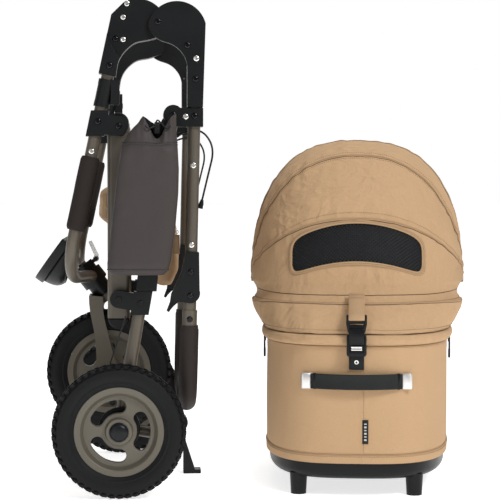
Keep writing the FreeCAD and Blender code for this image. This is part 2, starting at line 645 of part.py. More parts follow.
def tray():
    """The curved footrest in front of the steering head, a hollow half disc with a raised band."""
    root = V(-128.0, 0, 432.0)
    out = V(-0.593, 0, -0.805)
    normal = V(-0.805, 0, 0.593)
    radius = 92.0
    centre = root + out * 4
    disc = Part.makeCylinder(radius, 17.0, centre, normal)
    keep = Part.makeBox(400, 400, 400, V(0, -200, -200))
    frame = FreeCAD.Placement(FreeCAD.Matrix(out.x, 0, normal.x, centre.x, 0, -1, 0, 0,
                                             out.z, 0, normal.z, centre.z, 0, 0, 0, 1))
    keep.Placement = frame.multiply(keep.Placement)
    hollow = Part.makeCylinder(radius - 6.0, 14.0, centre - normal, normal)
    plate = disc.common(keep).cut(hollow)
    add("front_tray", plate.cut(clear_of(front_path())))


def front_path():
    bend = front_at(FRONT_BEND_Z)
    head_end = V(HEAD[0] - 2.0, -HEAD_TUBE_R - 1.0, HEAD[1] + 4.0)
    return bent_path([at(front_at(FRONT_TOP_Z), -SIDE_Y), at(bend, -SIDE_Y), head_end], [FRONT_BEND_R])


# ---- side rails, fork ----------------------------------------------------------------------
def side_rails():
    y0, y1 = -RAIL_Y - RAIL_T / 2, -RAIL_Y + RAIL_T / 2
    top, foot = RAIL_TOP_PIVOT, RAIL_FOOT_PIVOT
    low = (foot[0], foot[1] - RAIL_TAIL + 20)
    half = RAIL_W / 2
    bar = block((low[0] - half, low[0] + half), (y0, y1), (low[1], top[1] + 6))
    bar = bar.makeFillet(8.0, [e for e in bar.Edges if e.BoundBox.ZLength > 50])
    bar = bar.cut(across(foot, y0 - 1, y1 + 1, PIN_R + FIT))
    add("side_rails", pair(bar))
    caps = []
    for z, out in ((top[1] + 6, 1), (low[1], -1)):
        cap = across((low[0], z + out * 0.2), y0, y1, half - 1)
        if out > 0:
            cap = cap.common(block((-200, 200), (-300, 0), (z + 0.2, z + RAIL_HEAD)))
        else:
            cap = cap.common(block((-200, 200), (-300, 0), (z - RAIL_HEAD, z - 0.2)))
        caps.append(cap)
    add("rail_caps", pair(Part.makeCompound(caps)))


def fork():
    crown_top, crown_low = head_point(37.0, 0), head_point(50.0, 0)
    crown = rod(crown_top, crown_low, HEAD_TUBE_R)
    inner, outer = -FORK_GAP, -FORK_GAP - FORK_T
    wheel_c = FRONT_WHEEL
    blade = side_plate((-99.0, 333.0),
                       [("line", (-74.0, 331.0)),
                        ("curve", (-70.5, 289.0), (-62.0, 254.0), (-54.0, 222.0), (wheel_c[0] + 21, wheel_c[1])),
                        ("arc", (wheel_c[0], wheel_c[1] - 21), (wheel_c[0] - 21, wheel_c[1])),
                        ("curve", (-86.0, 222.0), (-88.0, 254.0), (-94.5, 289.0), (-99.0, 333.0))], outer, inner)
    bridge = side_plate((-99.0, 333.0), [("line", (-74.0, 331.0)), ("line", (-72.0, 313.0)),
                                         ("line", (-98.0, 315.0))], outer, -outer)
    bore = across(wheel_c, -60, 60, AXLE_R + FIT)
    arms = fused([blade, mirrored(blade), bridge]).cut(rod(head_point(-60, 0), crown_top, HEAD_STEP_R + GAP))
    legs = fused([arms, crown]).cut(bore)
    add("fork", legs.fuse(rod(head_point(-34, 0), crown_low, STEM_R)).removeSplitter())
    axle = across(wheel_c, outer - 6, -outer + 6, AXLE_R)
    nuts = [across(wheel_c, y, y + 5.5, AXLE_R + 5).cut(across(wheel_c, y, y + 5.5, AXLE_R + FIT))
            for y in (outer - 5.8, -outer + 0.3)]
    add("front_axle", Part.makeCompound([axle] + nuts))


def lock_lever():
    """The small silver lever that locks the front wheel's swivel."""
    pin = head_point(-24, 26)
    seat = rod(pin + V(0, -8, 0), pin + V(0, 8, 0), 4.0)
    post = rod(head_point(-24, HEAD_TUBE_R - 1.0), head_point(-24, 24.5), 3.5)
    barrel = NODES["steering_housing"]
    add("steering_housing", Part.makeCompound([barrel, fused([seat, post.cut(barrel)])]))
    blade = side_plate((pin.x - 3, pin.z + 5), [("line", (pin.x + 6, pin.z + 5)),
                                                ("line", (pin.x - 8, pin.z + 34)),
                                                ("line", (pin.x - 14, pin.z + 31))], 8.4, 12.4)
    pivot = rod(pin + V(0, 8.4, 0), pin + V(0, 12.4, 0), 6.0)
    add("swivel_lock_lever", fused([blade, pivot]))


# ---- carrier, drawn about its own centre ---------------------------------------------------
def place(shape):
    out = shape.copy()
    out.rotate(V(0, 0, 0), V(0, 0, 1), CARRIER_YAW)
    out.translate(V(CARRIER_AT[0], CARRIER_AT[1], 0))
    return out


def ring_wire(width, length, power, z, count=48):
    points = []
    for i in range(count):
        t = 2 * math.pi * (i + 0.5) / count
        c, s = math.cos(t), math.sin(t)
        u = width / 2 * math.copysign(abs(c) ** (2 / power), c)
        v = length / 2 * math.copysign(abs(s) ** (2 / power), s)
        points.append(V(u, v, z))
    curve = Part.BSplineCurve()
    curve.interpolate(Points=points, PeriodicFlag=True)
    return Part.Wire([curve.toShape()])


def slab(width, length, power, z0, z1):
    return Part.Face(ring_wire(width, length, power, z0)).extrude(V(0, 0, z1 - z0))


def hood_face(drop, thickness):
    """The hoop outline's wall in the plane v < 0, from pivot to pivot, as a face."""
    def curve(inset):
        points = []
        first = 0.075
        count = 22
        for i in range(count + 1):
            t = first + (math.pi - 2 * first) * i / count
            u = (HOOD_W - inset) * math.copysign(abs(math.cos(t)) ** (2 / HOOD_POWER), math.cos(t))
            r = (HOOD_H - inset) * math.sin(t) ** (2 / HOOD_POWER)
            points.append(V(u, -r, PIVOT_Z))
        line = Part.BSplineCurve()
        line.interpolate(points)
        return line.toShape(), points[0], points[-1]
    outer, a0, a1 = curve(drop)
    inner, b0, b1 = curve(drop + thickness)
    edges = [outer, Part.LineSegment(a1, b1).toShape(), inner, Part.LineSegment(b0, a0).toShape()]
    return Part.Face(Part.Wire(Part.__sortEdges__(edges)))


def hood_part(face, start, sweep):
    """Turn the hoop outline about the cross axis; 0 is level at the near end, 90 is straight up."""
    turned_face = face.copy()
    turned_face.rotate(V(0, 0, PIVOT_Z), V(-1, 0, 0), start)
    return turned_face.revolve(V(0, 0, PIVOT_Z), V(-1, 0, 0), sweep)


def half_outline(width, length, power, z, side):
    """Half of a rounded outline, from one flank over an end wall to the other flank."""
    points = []
    count = 24
    for i in range(count + 1):
        t = math.pi * i / count
        u = width / 2 * math.copysign(abs(math.cos(t)) ** (2 / power), math.cos(t))
        v = max(length / 2 * math.sin(t) ** (2 / power) if 0 < i < count else 0.0, GAP)
        points.append(V(u, side * v, z))
    curve = Part.BSplineCurve()
    curve.interpolate(points)
    return curve.toShape(), points[0], points[-1]


def skirt(drop, side):
    """One half of the hood's lower wall, from the rim up to the pivot's height; -1 is the near half."""
    levels = []
    for width, length, power, z in ((SKIRT_W, SKIRT_L, BODY_POWER, SKIRT_FOOT_Z),
                                    (2 * HOOD_W, 2 * HOOD_H, HOOD_POWER, PIVOT_Z - 0.2)):
        outer, a0, a1 = half_outline(width - 2 * drop, length - 2 * drop, power, z, side)
        inset = 2 * (drop + HOOD_T)
        inner, b0, b1 = half_outline(width - inset, length - inset, power, z, side)
        ends = [Part.LineSegment(a1, b1).toShape(), Part.LineSegment(b0, a0).toShape()]
        levels.append(Part.Wire(Part.__sortEdges__([outer, ends[0], inner, ends[1]])))
    wall = Part.makeLoft(levels, True, True)
    for stay in stays(FIT):
        wall = wall.cut(stay)
    return wall.cut(Part.makeCylinder(20.0, 500, V(-250, 0, PIVOT_Z), V(1, 0, 0)))


def stays(grow=0.0):
    """The two upright straps from the rim band to the pivot pins, larger all round by grow."""
    blocks = []
    for side in (-1, 1):
        u = sorted((side * (STAY_OUTER - STAY_T - grow), side * (STAY_OUTER - SEAT + grow)))
        z = (RIM_TOP + SEAT - grow, PIVOT_Z + STAY_ABOVE_PIN + grow)
        blocks.append(block(u, (-STAY_HALF - grow, STAY_HALF + grow), z))
    return blocks


def carrier():
    body = slab(BODY_W, BODY_L, BODY_POWER, BODY_BOTTOM, BODY_TOP)
    hollow = slab(BODY_W - 2 * WALL, BODY_L - 2 * WALL, BODY_POWER, BODY_BOTTOM + WALL, BODY_TOP + 1)
    add("carrier_body", place(body.cut(hollow)))

    base = slab(BASE_W, BASE_L, BODY_POWER, FOOT_H, BODY_BOTTOM - 0.2)
    lower = [e for e in base.Edges if e.BoundBox.ZMax < FOOT_H + 0.5]
    feet = [base.makeFillet(14.0, lower)]
    for su in (-1, 1):
        for sv in (-1, 1):
            spot = V(su * FOOT_U, sv * FOOT_V, 0)
            feet.append(Part.makeCone(FOOT_R - 2, FOOT_R, FOOT_H + 6.0, spot))
    add("carrier_base", place(fused(feet)))

    rim_out = slab(RIM_W_OUT, RIM_L_OUT, BODY_POWER, BODY_TOP + 0.3, RIM_TOP)
    rim_in = slab(BODY_W - 2 * WALL - 3, BODY_L - 2 * WALL - 3, BODY_POWER, BODY_TOP, RIM_TOP + 1)
    add("rim_band", place(rim_out.cut(rim_in)))

    inner = 2 * (WALL + FLOOR_GAP)
    add("mat", place(slab(BODY_W - inner, BODY_L - inner, BODY_POWER, BODY_BOTTOM + WALL + 0.2,
                          BODY_BOTTOM + WALL + MAT_T)))

    pivot_bore = Part.makeCylinder(PIVOT_PIN_R + FIT, 500, V(-250, 0, PIVOT_Z), V(1, 0, 0))
    rear_shell = hood_part(hood_face(REAR_HOOD_DROP, HOOD_T), SEAM_ANGLE + 0.5, 180 - SEAM_ANGLE - 0.5)
    rear_shell = rear_shell.cut(pivot_bore)
    add("rear_hood", place(Part.makeCompound([rear_shell, skirt(REAR_HOOD_DROP, 1)])))
    hoop = hood_face(REAR_HOOD_DROP + HOOD_T + 0.3, HOOP_T)
    rear_hoops = [hood_part(hoop, angle, 1.0) for angle in (95.0, 118.0, 154.0)]

    pins = stays()
    for side in (-1, 1):
        start, end = sorted((side * STAY_OUTER, side * (HOOD_W + PIN_PROUD)))
        pins.append(Part.makeCylinder(PIVOT_PIN_R, end - start, V(start, 0, PIVOT_Z), V(1, 0, 0)))
    add("rear_hoops", place(Part.makeCompound(rear_hoops + pins)))

    front_hood(pivot_bore)
    fittings()


def window_shape(shrink, near):
    """A prism along v through the bowed window, smaller all round by shrink."""
    half = WINDOW_U - shrink
    top, low = WINDOW_Z[1] - shrink, WINDOW_Z[0] + shrink
    corners = [V(-half, near, low - WINDOW_BOW[0]), V(0, near, low), V(half, near, low - WINDOW_BOW[0]),
               V(half, near, top - WINDOW_BOW[1]), V(0, near, top), V(-half, near, top - WINDOW_BOW[1])]
    edges = [Part.Arc(corners[0], corners[1], corners[2]).toShape(),
             Part.LineSegment(corners[2], corners[3]).toShape(),
             Part.Arc(corners[3], corners[4], corners[5]).toShape(),
             Part.LineSegment(corners[5], corners[0]).toShape()]
    prism = Part.Face(Part.Wire(edges)).extrude(V(0, 300, 0))
    return prism.makeFillet(WINDOW_CORNER_R, [e for e in prism.Edges if e.BoundBox.YLength > 200])


def front_hood(pivot_bore):
    front_shell = hood_part(hood_face(0.0, HOOD_T), 0.0, SEAM_ANGLE).cut(pivot_bore)
    shell = front_shell.cut(window_shape(0.0, -400))
    add("front_hood", place(Part.makeCompound([shell, skirt(0.0, -1)])))
    mesh = hood_part(hood_face(0.7, 1.0), 0.0, 60.0).common(window_shape(0.2, -400))
    add("window_mesh", place(mesh))
    hoop = hood_face(HOOD_T + 0.3, HOOP_T)
    add("front_hoops", place(Part.makeCompound([hood_part(hoop, angle, 1.0) for angle in (27.0, 62.0, 91.0)])))


def body_end(u):
    """Distance of the body's end wall from mid-length at a place across."""
    return BODY_L / 2 * (1 - abs(2 * u / BODY_W) ** BODY_POWER) ** (1 / BODY_POWER)


def fittings():
    plates, straps = [], []
    outer = slab(BODY_W + 0.6, BODY_L + 0.6, BODY_POWER, 150.0, 250.0)
    reach = 80.0
    for end in (-1, 1):
        low, bow = body_end(reach) + 6.0, body_end(0) + 17.0
        a, m, b = V(-reach, end * low, 188), V(0, end * bow, 188), V(reach, end * low, 188)
        outer_arc = Part.Arc(a, m, b).toShape()
        inner_arc = Part.Arc(a - V(0, end * 3, 0), m - V(0, end * 3, 0), b - V(0, end * 3, 0)).toShape()
        sides = [Part.LineSegment(a, a - V(0, end * 3, 0)).toShape(),
                 Part.LineSegment(b, b - V(0, end * 3, 0)).toShape()]
        face = Part.Face(Part.Wire(Part.__sortEdges__([outer_arc, inner_arc] + sides)))
        strap = face.extrude(V(0, 0, 27))
        straps.append(strap)
        for side in (-1, 1):
            u = sorted((side * 71.0, side * 94.0))
            v = sorted((end * (body_end(reach) - 18), end * (body_end(reach) + 11)))
            plate = block(u, v, (187.0, 216.0))
            plates.append(plate.cut(outer).cut(strap))
    largest = [max(plate.Solids, key=lambda solid: solid.Volume) for plate in plates]
    add("grab_handles", place(Part.makeCompound(largest + straps)))

    v_out, v_in = -RIM_L_OUT / 2 - 17.0, -RIM_L_OUT / 2 - 1.0
    lower = block((-17.5, 17.5), (v_out, v_in), (245.0, 283.5))
    tab = block((-13, 13), (v_out + 5, -BODY_L / 2 - 0.5), (222.0, 244.8))
    add("buckle_lower", place(fused([lower, tab])))
    upper = block((-17.5, 17.5), (v_out, v_in), (284.5, 317.0))
    top_v = -HOOD_H - 22.0
    strap = Part.Face(Part.makePolygon([V(-14, v_in, 297), V(-14, v_out + 8, 314), V(-14, top_v - 5, 346),
                                        V(-14, top_v + 0.6, 343), V(-14, v_in, 297)])).extrude(V(28, 0, 0))
    strap = strap.cut(skirt(-0.3, -1))
    strap = max(strap.Solids, key=lambda s: -s.BoundBox.YMin)
    add("buckle_upper", place(fused([upper, strap])))

    zips = []
    for side in (-1, 1):
        u = sorted((side * (BODY_W / 2 + 0.6), side * (BODY_W / 2 + 5.6)))
        zips.append(block(u, (-118.0, -110.0), (250.0, 261.5)))
        u = sorted((side * (BODY_W / 2 + 2.0), side * (BODY_W / 2 + 4.2)))
        zips.append(block(u, (-115.0, -112.8), (222.0, 249.8)))
    add("zip_pulls", place(Part.makeCompound(zips)))


# ---- the whole model -----------------------------------------------------------------------
def centred(nodes):
    """The move that puts the origin on the floor under the middle of the bounding box."""
    box = FreeCAD.BoundBox()
    for shape in nodes.values():
        box.add(shape.optimalBoundingBox(True, False))
    return V(-(box.XMin + box.XMax) / 2, -(box.YMin + box.YMax) / 2, -box.ZMin)


rear_frame()
soft_goods()
handle()
front_frame()
side_rails()
fork()
lock_lever()
wheel("rear_left", REAR_AXLE, -REAR_WHEEL_Y, -1)
wheel("rear_right", REAR_AXLE, REAR_WHEEL_Y, 1)
wheel("front", FRONT_WHEEL, 0.0, 0)
carrier()

SHIFT = centred(NODES)
os.makedirs("parts", exist_ok=True)
for node, shape in NODES.items():
    shape.translate(SHIFT)
    shape.exportStep("parts/" + node + ".step")
print(len(NODES), "nodes, shift", [round(c, 2) for c in SHIFT])
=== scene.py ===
"""Looks for a folding pet stroller and its lift-off carrier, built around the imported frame."""

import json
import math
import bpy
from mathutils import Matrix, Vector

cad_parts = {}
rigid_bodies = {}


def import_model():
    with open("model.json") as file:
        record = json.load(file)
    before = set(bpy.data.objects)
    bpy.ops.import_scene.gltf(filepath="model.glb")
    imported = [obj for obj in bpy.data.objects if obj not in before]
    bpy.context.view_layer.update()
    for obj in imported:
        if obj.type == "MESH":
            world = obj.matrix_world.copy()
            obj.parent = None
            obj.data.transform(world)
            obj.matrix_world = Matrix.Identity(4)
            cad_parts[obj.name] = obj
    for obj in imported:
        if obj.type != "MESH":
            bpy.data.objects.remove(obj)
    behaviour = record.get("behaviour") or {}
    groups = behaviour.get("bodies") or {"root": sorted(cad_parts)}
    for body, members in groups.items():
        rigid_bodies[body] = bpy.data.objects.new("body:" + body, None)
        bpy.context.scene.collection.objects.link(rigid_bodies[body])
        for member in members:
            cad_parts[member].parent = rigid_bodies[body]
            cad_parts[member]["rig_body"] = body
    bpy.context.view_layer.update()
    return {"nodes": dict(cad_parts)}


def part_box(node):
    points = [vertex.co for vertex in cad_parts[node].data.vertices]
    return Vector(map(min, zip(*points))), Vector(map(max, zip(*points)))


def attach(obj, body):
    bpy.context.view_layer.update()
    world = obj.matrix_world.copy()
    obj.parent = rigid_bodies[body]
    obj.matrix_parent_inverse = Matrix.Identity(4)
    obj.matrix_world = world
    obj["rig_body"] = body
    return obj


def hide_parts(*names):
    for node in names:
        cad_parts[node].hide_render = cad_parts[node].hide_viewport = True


bl_info = {
    "name": "Pet Stroller",
    "version": (1, 0, 0),
    "blender": (4, 5, 0),
    "location": "View3D > Sidebar > Stroller",
    "description": "Dresses the packed stroller frame with wheels, mouldings, bag, carrier and hood",
    "category": "Add Mesh",
}

import bmesh
import bpy
import numpy as np
from mathutils import Matrix, Vector, noise

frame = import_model()
MM = 0.001


# ---- places read from the frame -------------------------------------------------------------
def middle(node):
    low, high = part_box(node)
    return (low + high) / 2


# drawing coordinates put X = 0 and the mid-plane Y = 0 near the rear axle
AXLE_DRAWN = Vector((-41.7, -235.0, 115.0)) * MM
SHIFT = middle("rim_rear_left") - AXLE_DRAWN
MID_Y = SHIFT.y
CARRIER_TURN = math.radians(-7.9)
CARRIER = Matrix.Translation(SHIFT + Vector((404.0, 40.0, 0.0)) * MM) @ Matrix.Rotation(CARRIER_TURN, 4, "Z")


def spot(x, y, z):
    """A place on the frame, from millimetres in drawing coordinates."""
    return Vector((x, y, z)) * MM + SHIFT


# ---- mesh making ----------------------------------------------------------------------------
class Pattern:
    """Collects the faces of one piece, then makes them into a mesh with its place in it."""

    def __init__(self):
        self.points = []
        self.faces = []
        self.finish = []
        self.cloth = []

    def sheet(self, rows, finish=0, ring=False, tube=False, flip=False, cloth=False):
        """Quads between rows of points; ring closes each row, tube joins the last row to the first."""
        start = len(self.points)
        count = len(rows[0])
        for row in rows:
            self.points.extend(Vector(p) for p in row)
        if cloth:
            self.map_cloth(rows, start)
        across = count if ring else count - 1
        down = len(rows) if tube else len(rows) - 1
        for i in range(down):
            for j in range(across):
                a = start + i * count + j
                b = start + i * count + (j + 1) % count
                c = start + ((i + 1) % len(rows)) * count + (j + 1) % count
                d = start + ((i + 1) % len(rows)) * count + j
                self.faces.append((d, c, b, a) if flip else (a, b, c, d))
                self.finish.append(finish)
        return start

    def map_cloth(self, rows, start):
        """Gives each point its place on the flat cloth, in metres along and down."""
        self.cloth.extend([(0.0, 0.0)] * (start - len(self.cloth)))
        guide = rows[len(rows) // 2]
        along = [0.0]
        for a, b in zip(guide, guide[1:]):
            along.append(along[-1] + (Vector(b) - Vector(a)).length)
        middle_column = len(guide) // 2
        down = 0.0
        for i, row in enumerate(rows):
            if i:
                down += (Vector(row[middle_column]) - Vector(rows[i - 1][middle_column])).length
            self.cloth.extend((x, down) for x in along)

    def cap(self, ring, finish=0, flip=False):
        """A fan that closes a ring of points."""
        start = len(self.points)
        ring = [Vector(p) for p in ring]
        self.points.extend(ring)
        self.points.append(sum(ring, Vector()) / len(ring))
        hub = start + len(ring)
        for j in range(len(ring)):
            k = (j + 1) % len(ring)
            face = (start + j, start + k, hub)
            self.faces.append(face[::-1] if flip else face)
            self.finish.append(finish)

    def tube(self, path, radius, finish=0, sides=8, closed=False, flat=1.0, up=(0, 0, 1)):
        """A round or flattened tube along a path; radius may be a list, one for each point."""
        path = [Vector(p) for p in path]
        count = len(path)
        radii = radius if isinstance(radius, (list, tuple)) else [radius] * count
        rings = []
        side = Vector(up[0]) if isinstance(up, list) else Vector(up)
        for i, p in enumerate(path):
            ahead = path[(i + 1) % count] if closed or i < count - 1 else path[i]
            behind = path[i - 1] if closed or i > 0 else path[i]
            along = (ahead - behind).normalized()
            side = Vector(up[i]) if isinstance(up, list) else side
            side = side - along * side.dot(along)
            side = side.normalized() if side.length > 1e-9 else along.orthogonal().normalized()
            other = along.cross(side)
            ring = []
            for j in range(sides):
                turn = 2 * math.pi * j / sides
                ring.append(p + side * (math.cos(turn) * radii[i] * flat)
                    + other * (math.sin(turn) * radii[i]))
            rings.append(ring)
        self.sheet(rings, finish, ring=True, tube=closed, flip=True)
        if not closed:
            self.cap(rings[0], finish, flip=False)
            self.cap(rings[-1], finish, flip=True)

    def solid(self, shape, finish=0, place=None):
        """Adds a finished bmesh, moved to its place, and frees it."""
        start = len(self.points)
        shape.verts.ensure_lookup_table()
        for vert in shape.verts:
            self.points.append(place @ vert.co if place is not None else vert.co.copy())
        for face in shape.faces:
            self.faces.append(tuple(start + v.index for v in face.verts))
            self.finish.append(finish)
        shape.free()

    def piece(self, name, finishes, place=None, merge=0.0, smooth=40.0):
        mesh = bpy.data.meshes.new(name)
        points = [place @ p for p in self.points] if place is not None else self.points
        mesh.from_pydata([tuple(p) for p in points], [], self.faces)
        for material in finishes:
            mesh.materials.append(material)
        mesh.polygons.foreach_set("material_index", self.finish)
        if self.cloth:
            self.cloth.extend([(0.0, 0.0)] * (len(self.points) - len(self.cloth)))
            layer = mesh.uv_layers.new(name="cloth")
            flat = np.array(self.cloth, np.float32)
            corners = np.zeros(len(mesh.loops), np.int32)
            mesh.loops.foreach_get("vertex_index", corners)
            layer.data.foreach_set("uv", flat[corners].ravel())
        if merge:
            shape = bmesh.new()
            shape.from_mesh(mesh)
            bmesh.ops.remove_doubles(shape, verts=shape.verts, dist=merge)
            shape.to_mesh(mesh)
            shape.free()
        return shown(name, mesh, smooth)


def shown(name, mesh, smooth=40.0):
    """Puts a mesh in the scene as an object at the origin, smooth up to an angle."""
    mesh.name = name
    mesh.polygons.foreach_set("use_smooth", [True] * len(mesh.polygons))
    mesh.update()
    if smooth < 180:
        mesh.set_sharp_from_angle(angle=math.radians(smooth))
    made = bpy.data.objects.new(name, mesh)
    bpy.context.scene.collection.objects.link(made)
    return made


def finished(made):
    """Makes an object's live modifiers part of its mesh."""
    bpy.context.view_layer.update()
    depsgraph = bpy.context.evaluated_depsgraph_get()
    mesh = bpy.data.meshes.new_from_object(made.evaluated_get(depsgraph))
    made.modifiers.clear()
    old = made.data
    made.data = mesh
    mesh.name = made.name
    if old.users == 0:
        bpy.data.meshes.remove(old)
    return made


def rounded_block(size, edge, steps=2):
    """A block with rounded edges, centred on the origin."""
    shape = bmesh.new()
    bmesh.ops.create_cube(shape, size=1.0)
    bmesh.ops.scale(shape, vec=Vector(size), verts=shape.verts)
    bmesh.ops.bevel(shape, geom=list(shape.edges), offset=edge, segments=steps, profile=0.5,
        affect="EDGES", clamp_overlap=True)
    return shape


def lathe(pattern, outline, centre, axis="Y", steps=96, finish=0):
    """Turns a closed (radius, along) outline about an axis through centre."""
    rows = []
    for i in range(steps):
        turn = 2 * math.pi * i / steps
        row = []
        for r, y in outline:
            p = Vector((r * math.cos(turn), y, r * math.sin(turn)))
            if axis == "Z":
                p = Vector((r * math.cos(turn), r * math.sin(turn), y))
            row.append(centre + p)
        rows.append(row)
    pattern.sheet(rows, finish, ring=True, tube=True)


def outward(made):
    """Turns every face of a closed piece outwards."""
    shape = bmesh.new()
    shape.from_mesh(made.data)
    bmesh.ops.remove_doubles(shape, verts=shape.verts, dist=1e-6)
    bmesh.ops.recalc_face_normals(shape, faces=shape.faces)
    shape.to_mesh(made.data)
    shape.free()
    return made


def mirror_points(points):
    """The same places on the other side of the stroller's mid-plane."""
    return [Vector((p.x, 2 * MID_Y - p.y, p.z)) for p in points]


def curve_line(control, steps=8, closed=False):
    """A smooth line through control points."""
    control = [Vector(p) for p in control]
    count = len(control)
    line = []
    spans = count if closed else count - 1
    for i in range(spans):
        a = control[(i - 1) % count] if closed or i > 0 else control[i]
        b, c = control[i], control[(i + 1) % count]
        d = control[(i + 2) % count] if closed or i < count - 2 else c
        for k in range(steps):
            t = k / steps
            line.append(0.5 * ((2 * b) + (c - a) * t + (2 * a - 5 * b + 4 * c - d) * t * t
                    + (3 * b - a - 3 * c + d) * t ** 3))
    if not closed:
        line.append(control[-1])
    return line


def even(points, count, closed=False):
    """Points spaced evenly along a line."""
    line = [Vector(p) for p in points] + ([Vector(points[0])] if closed else [])
    reach = [0.0]
    for a, b in zip(line, line[1:]):
        reach.append(reach[-1] + (b - a).length)
    marks = np.linspace(0.0, reach[-1], count + 1 if closed else count)
    if closed:
        marks = marks[:-1]
    places = np.array([tuple(p) for p in line])
    return [Vector((float(np.interp(m, reach, places[:, 0])), float(np.interp(m, reach, places[:, 1])),
                float(np.interp(m, reach, places[:, 2])))) for m in marks]


def ruffle(p, scale, seed=0.0):
    """Smooth noise from -1 to 1 at a place."""
    return noise.noise(Vector((p[0] * scale + seed, p[1] * scale - seed, p[2] * scale + 2 * seed)))


# ---- node trees -----------------------------------------------------------------------------
class Graph:
    """Adds nodes to a tree; an input is given as a value or as the socket that feeds it."""

    def __init__(self, tree):
        self.tree = tree

    def add(self, kind, inputs=None, **settings):
        made = self.tree.nodes.new(kind)
        for key, value in settings.items():
            setattr(made, key, value)
        for key, value in (inputs or {}).items():
            if isinstance(value, bpy.types.NodeSocket):
                self.tree.links.new(value, made.inputs[key])
            else:
                made.inputs[key].default_value = value
        return made

    def math(self, work, first, second=0.0, clamp=False):
        return self.add("ShaderNodeMath", {0: first, 1: second}, operation=work, use_clamp=clamp).outputs[0]


def sockets(tree, direction, wanted):
    for label, kind, value in wanted:
        made = tree.interface.new_socket(label, in_out=direction, socket_type="NodeSocket" + kind)
        if value is not None:
            made.default_value = value


def geometry_tree(name, inputs):
    tree = bpy.data.node_groups.new(name, "GeometryNodeTree")
    sockets(tree, "OUTPUT", [("Geometry", "Geometry", None)])
    sockets(tree, "INPUT", [("Geometry", "Geometry", None)] + inputs + [("Finish", "Material", None)])
    graph = Graph(tree)
    return graph, graph.add("NodeGroupInput").outputs


def close_tree(graph, geometry, finish):
    real = graph.add("GeometryNodeRealizeInstances", {0: geometry})
    coat = graph.add("GeometryNodeSetMaterial", {"Geometry": real.outputs[0], "Material": finish})
    smooth = graph.add("GeometryNodeSetShadeSmooth", {0: coat.outputs[0]})
    graph.add("NodeGroupOutput", {0: smooth.outputs[0]})
    return graph.tree


def grown(name, tree, values, base=None):
    """Runs a geometry tree and returns a plain object with the result."""
    seed = bpy.data.objects.new(name, base or bpy.data.meshes.new(name))
    bpy.context.scene.collection.objects.link(seed)
    build = seed.modifiers.new("Build", "NODES")
    build.node_group = tree
    keys = {item.name: item.identifier for item in tree.interface.items_tree
        if item.item_type == "SOCKET" and item.in_out == "INPUT"}
    for label, value in values.items():
        build[keys[label]] = value
    return finished(seed)


def tread_tree():
    """Rows of tread blocks round a tyre, turned to the wheel's place."""
    graph, give = geometry_tree("Tyre tread", [
            ("Blocks", "Int", 80), ("Radius", "Float", 0.112), ("Block", "Vector", (0.006, 0.008, 0.004)),
            ("Row offset", "Float", 0.011), ("Row drop", "Float", 0.002), ("Lean", "Float", 0.6),
            ("Centre", "Vector", (0, 0, 0))])
    rows = []
    for side, drop, lean, phase, swell in ((-1, 1, 1, 0.0, 1.0), (1, 1, -1, 0.5, 1.0),
            (-0.33, 0, 0.25, 0.25, 0.8),
            (0.33, 0, -0.25, 0.75, 0.8)):
        radius = graph.math("SUBTRACT", give["Radius"], graph.math("MULTIPLY", give["Row drop"], float(drop)))
        circle = graph.add("GeometryNodeCurvePrimitiveCircle", {"Resolution": 128, "Radius": radius})
        points = graph.add("GeometryNodeCurveToPoints", {"Curve": circle.outputs[0], "Count": give["Blocks"]},
            mode="COUNT")
        size = graph.add("ShaderNodeVectorMath", {0: give["Block"], "Scale": swell}, operation="SCALE")
        cube = graph.add("GeometryNodeMeshCube", {"Size": size.outputs[0]})
        tilt = graph.add("ShaderNodeCombineXYZ", {"X": graph.math("MULTIPLY", give["Lean"], float(lean))})
        block = graph.add("GeometryNodeTransform", {"Geometry": cube.outputs[0], "Rotation": tilt.outputs[0]})
        spin = graph.add("FunctionNodeAxisAngleToRotation", {"Axis": (0, 0, 1)})
        step = graph.math("DIVIDE", 2 * math.pi, give["Blocks"])
        index = graph.add("GeometryNodeInputIndex")
        turn = graph.math("MULTIPLY", step, graph.math("ADD", index.outputs[0], 0.0))
        graph.tree.links.new(turn, spin.inputs["Angle"])
        placed = graph.add("GeometryNodeInstanceOnPoints",
            {"Points": points.outputs[0], "Instance": block.outputs[0],
                "Rotation": spin.outputs[0]})
        shift = graph.add("ShaderNodeCombineXYZ",
            {"Z": graph.math("MULTIPLY", give["Row offset"], float(side))})
        begin = graph.add("ShaderNodeCombineXYZ", {"Z": graph.math("MULTIPLY", step, float(phase))})
        moved = graph.add("GeometryNodeTransform",
            {"Geometry": placed.outputs[0], "Translation": shift.outputs[0],
                "Rotation": begin.outputs[0]})
        rows.append(moved.outputs[0])
    joined = graph.add("GeometryNodeJoinGeometry")
    for row in rows:
        graph.tree.links.new(row, joined.inputs[0])
    stood = graph.add("GeometryNodeTransform",
        {"Geometry": joined.outputs[0], "Rotation": (math.pi / 2, 0, 0),
            "Translation": give["Centre"]})
    return close_tree(graph, stood.outputs[0], give["Finish"])


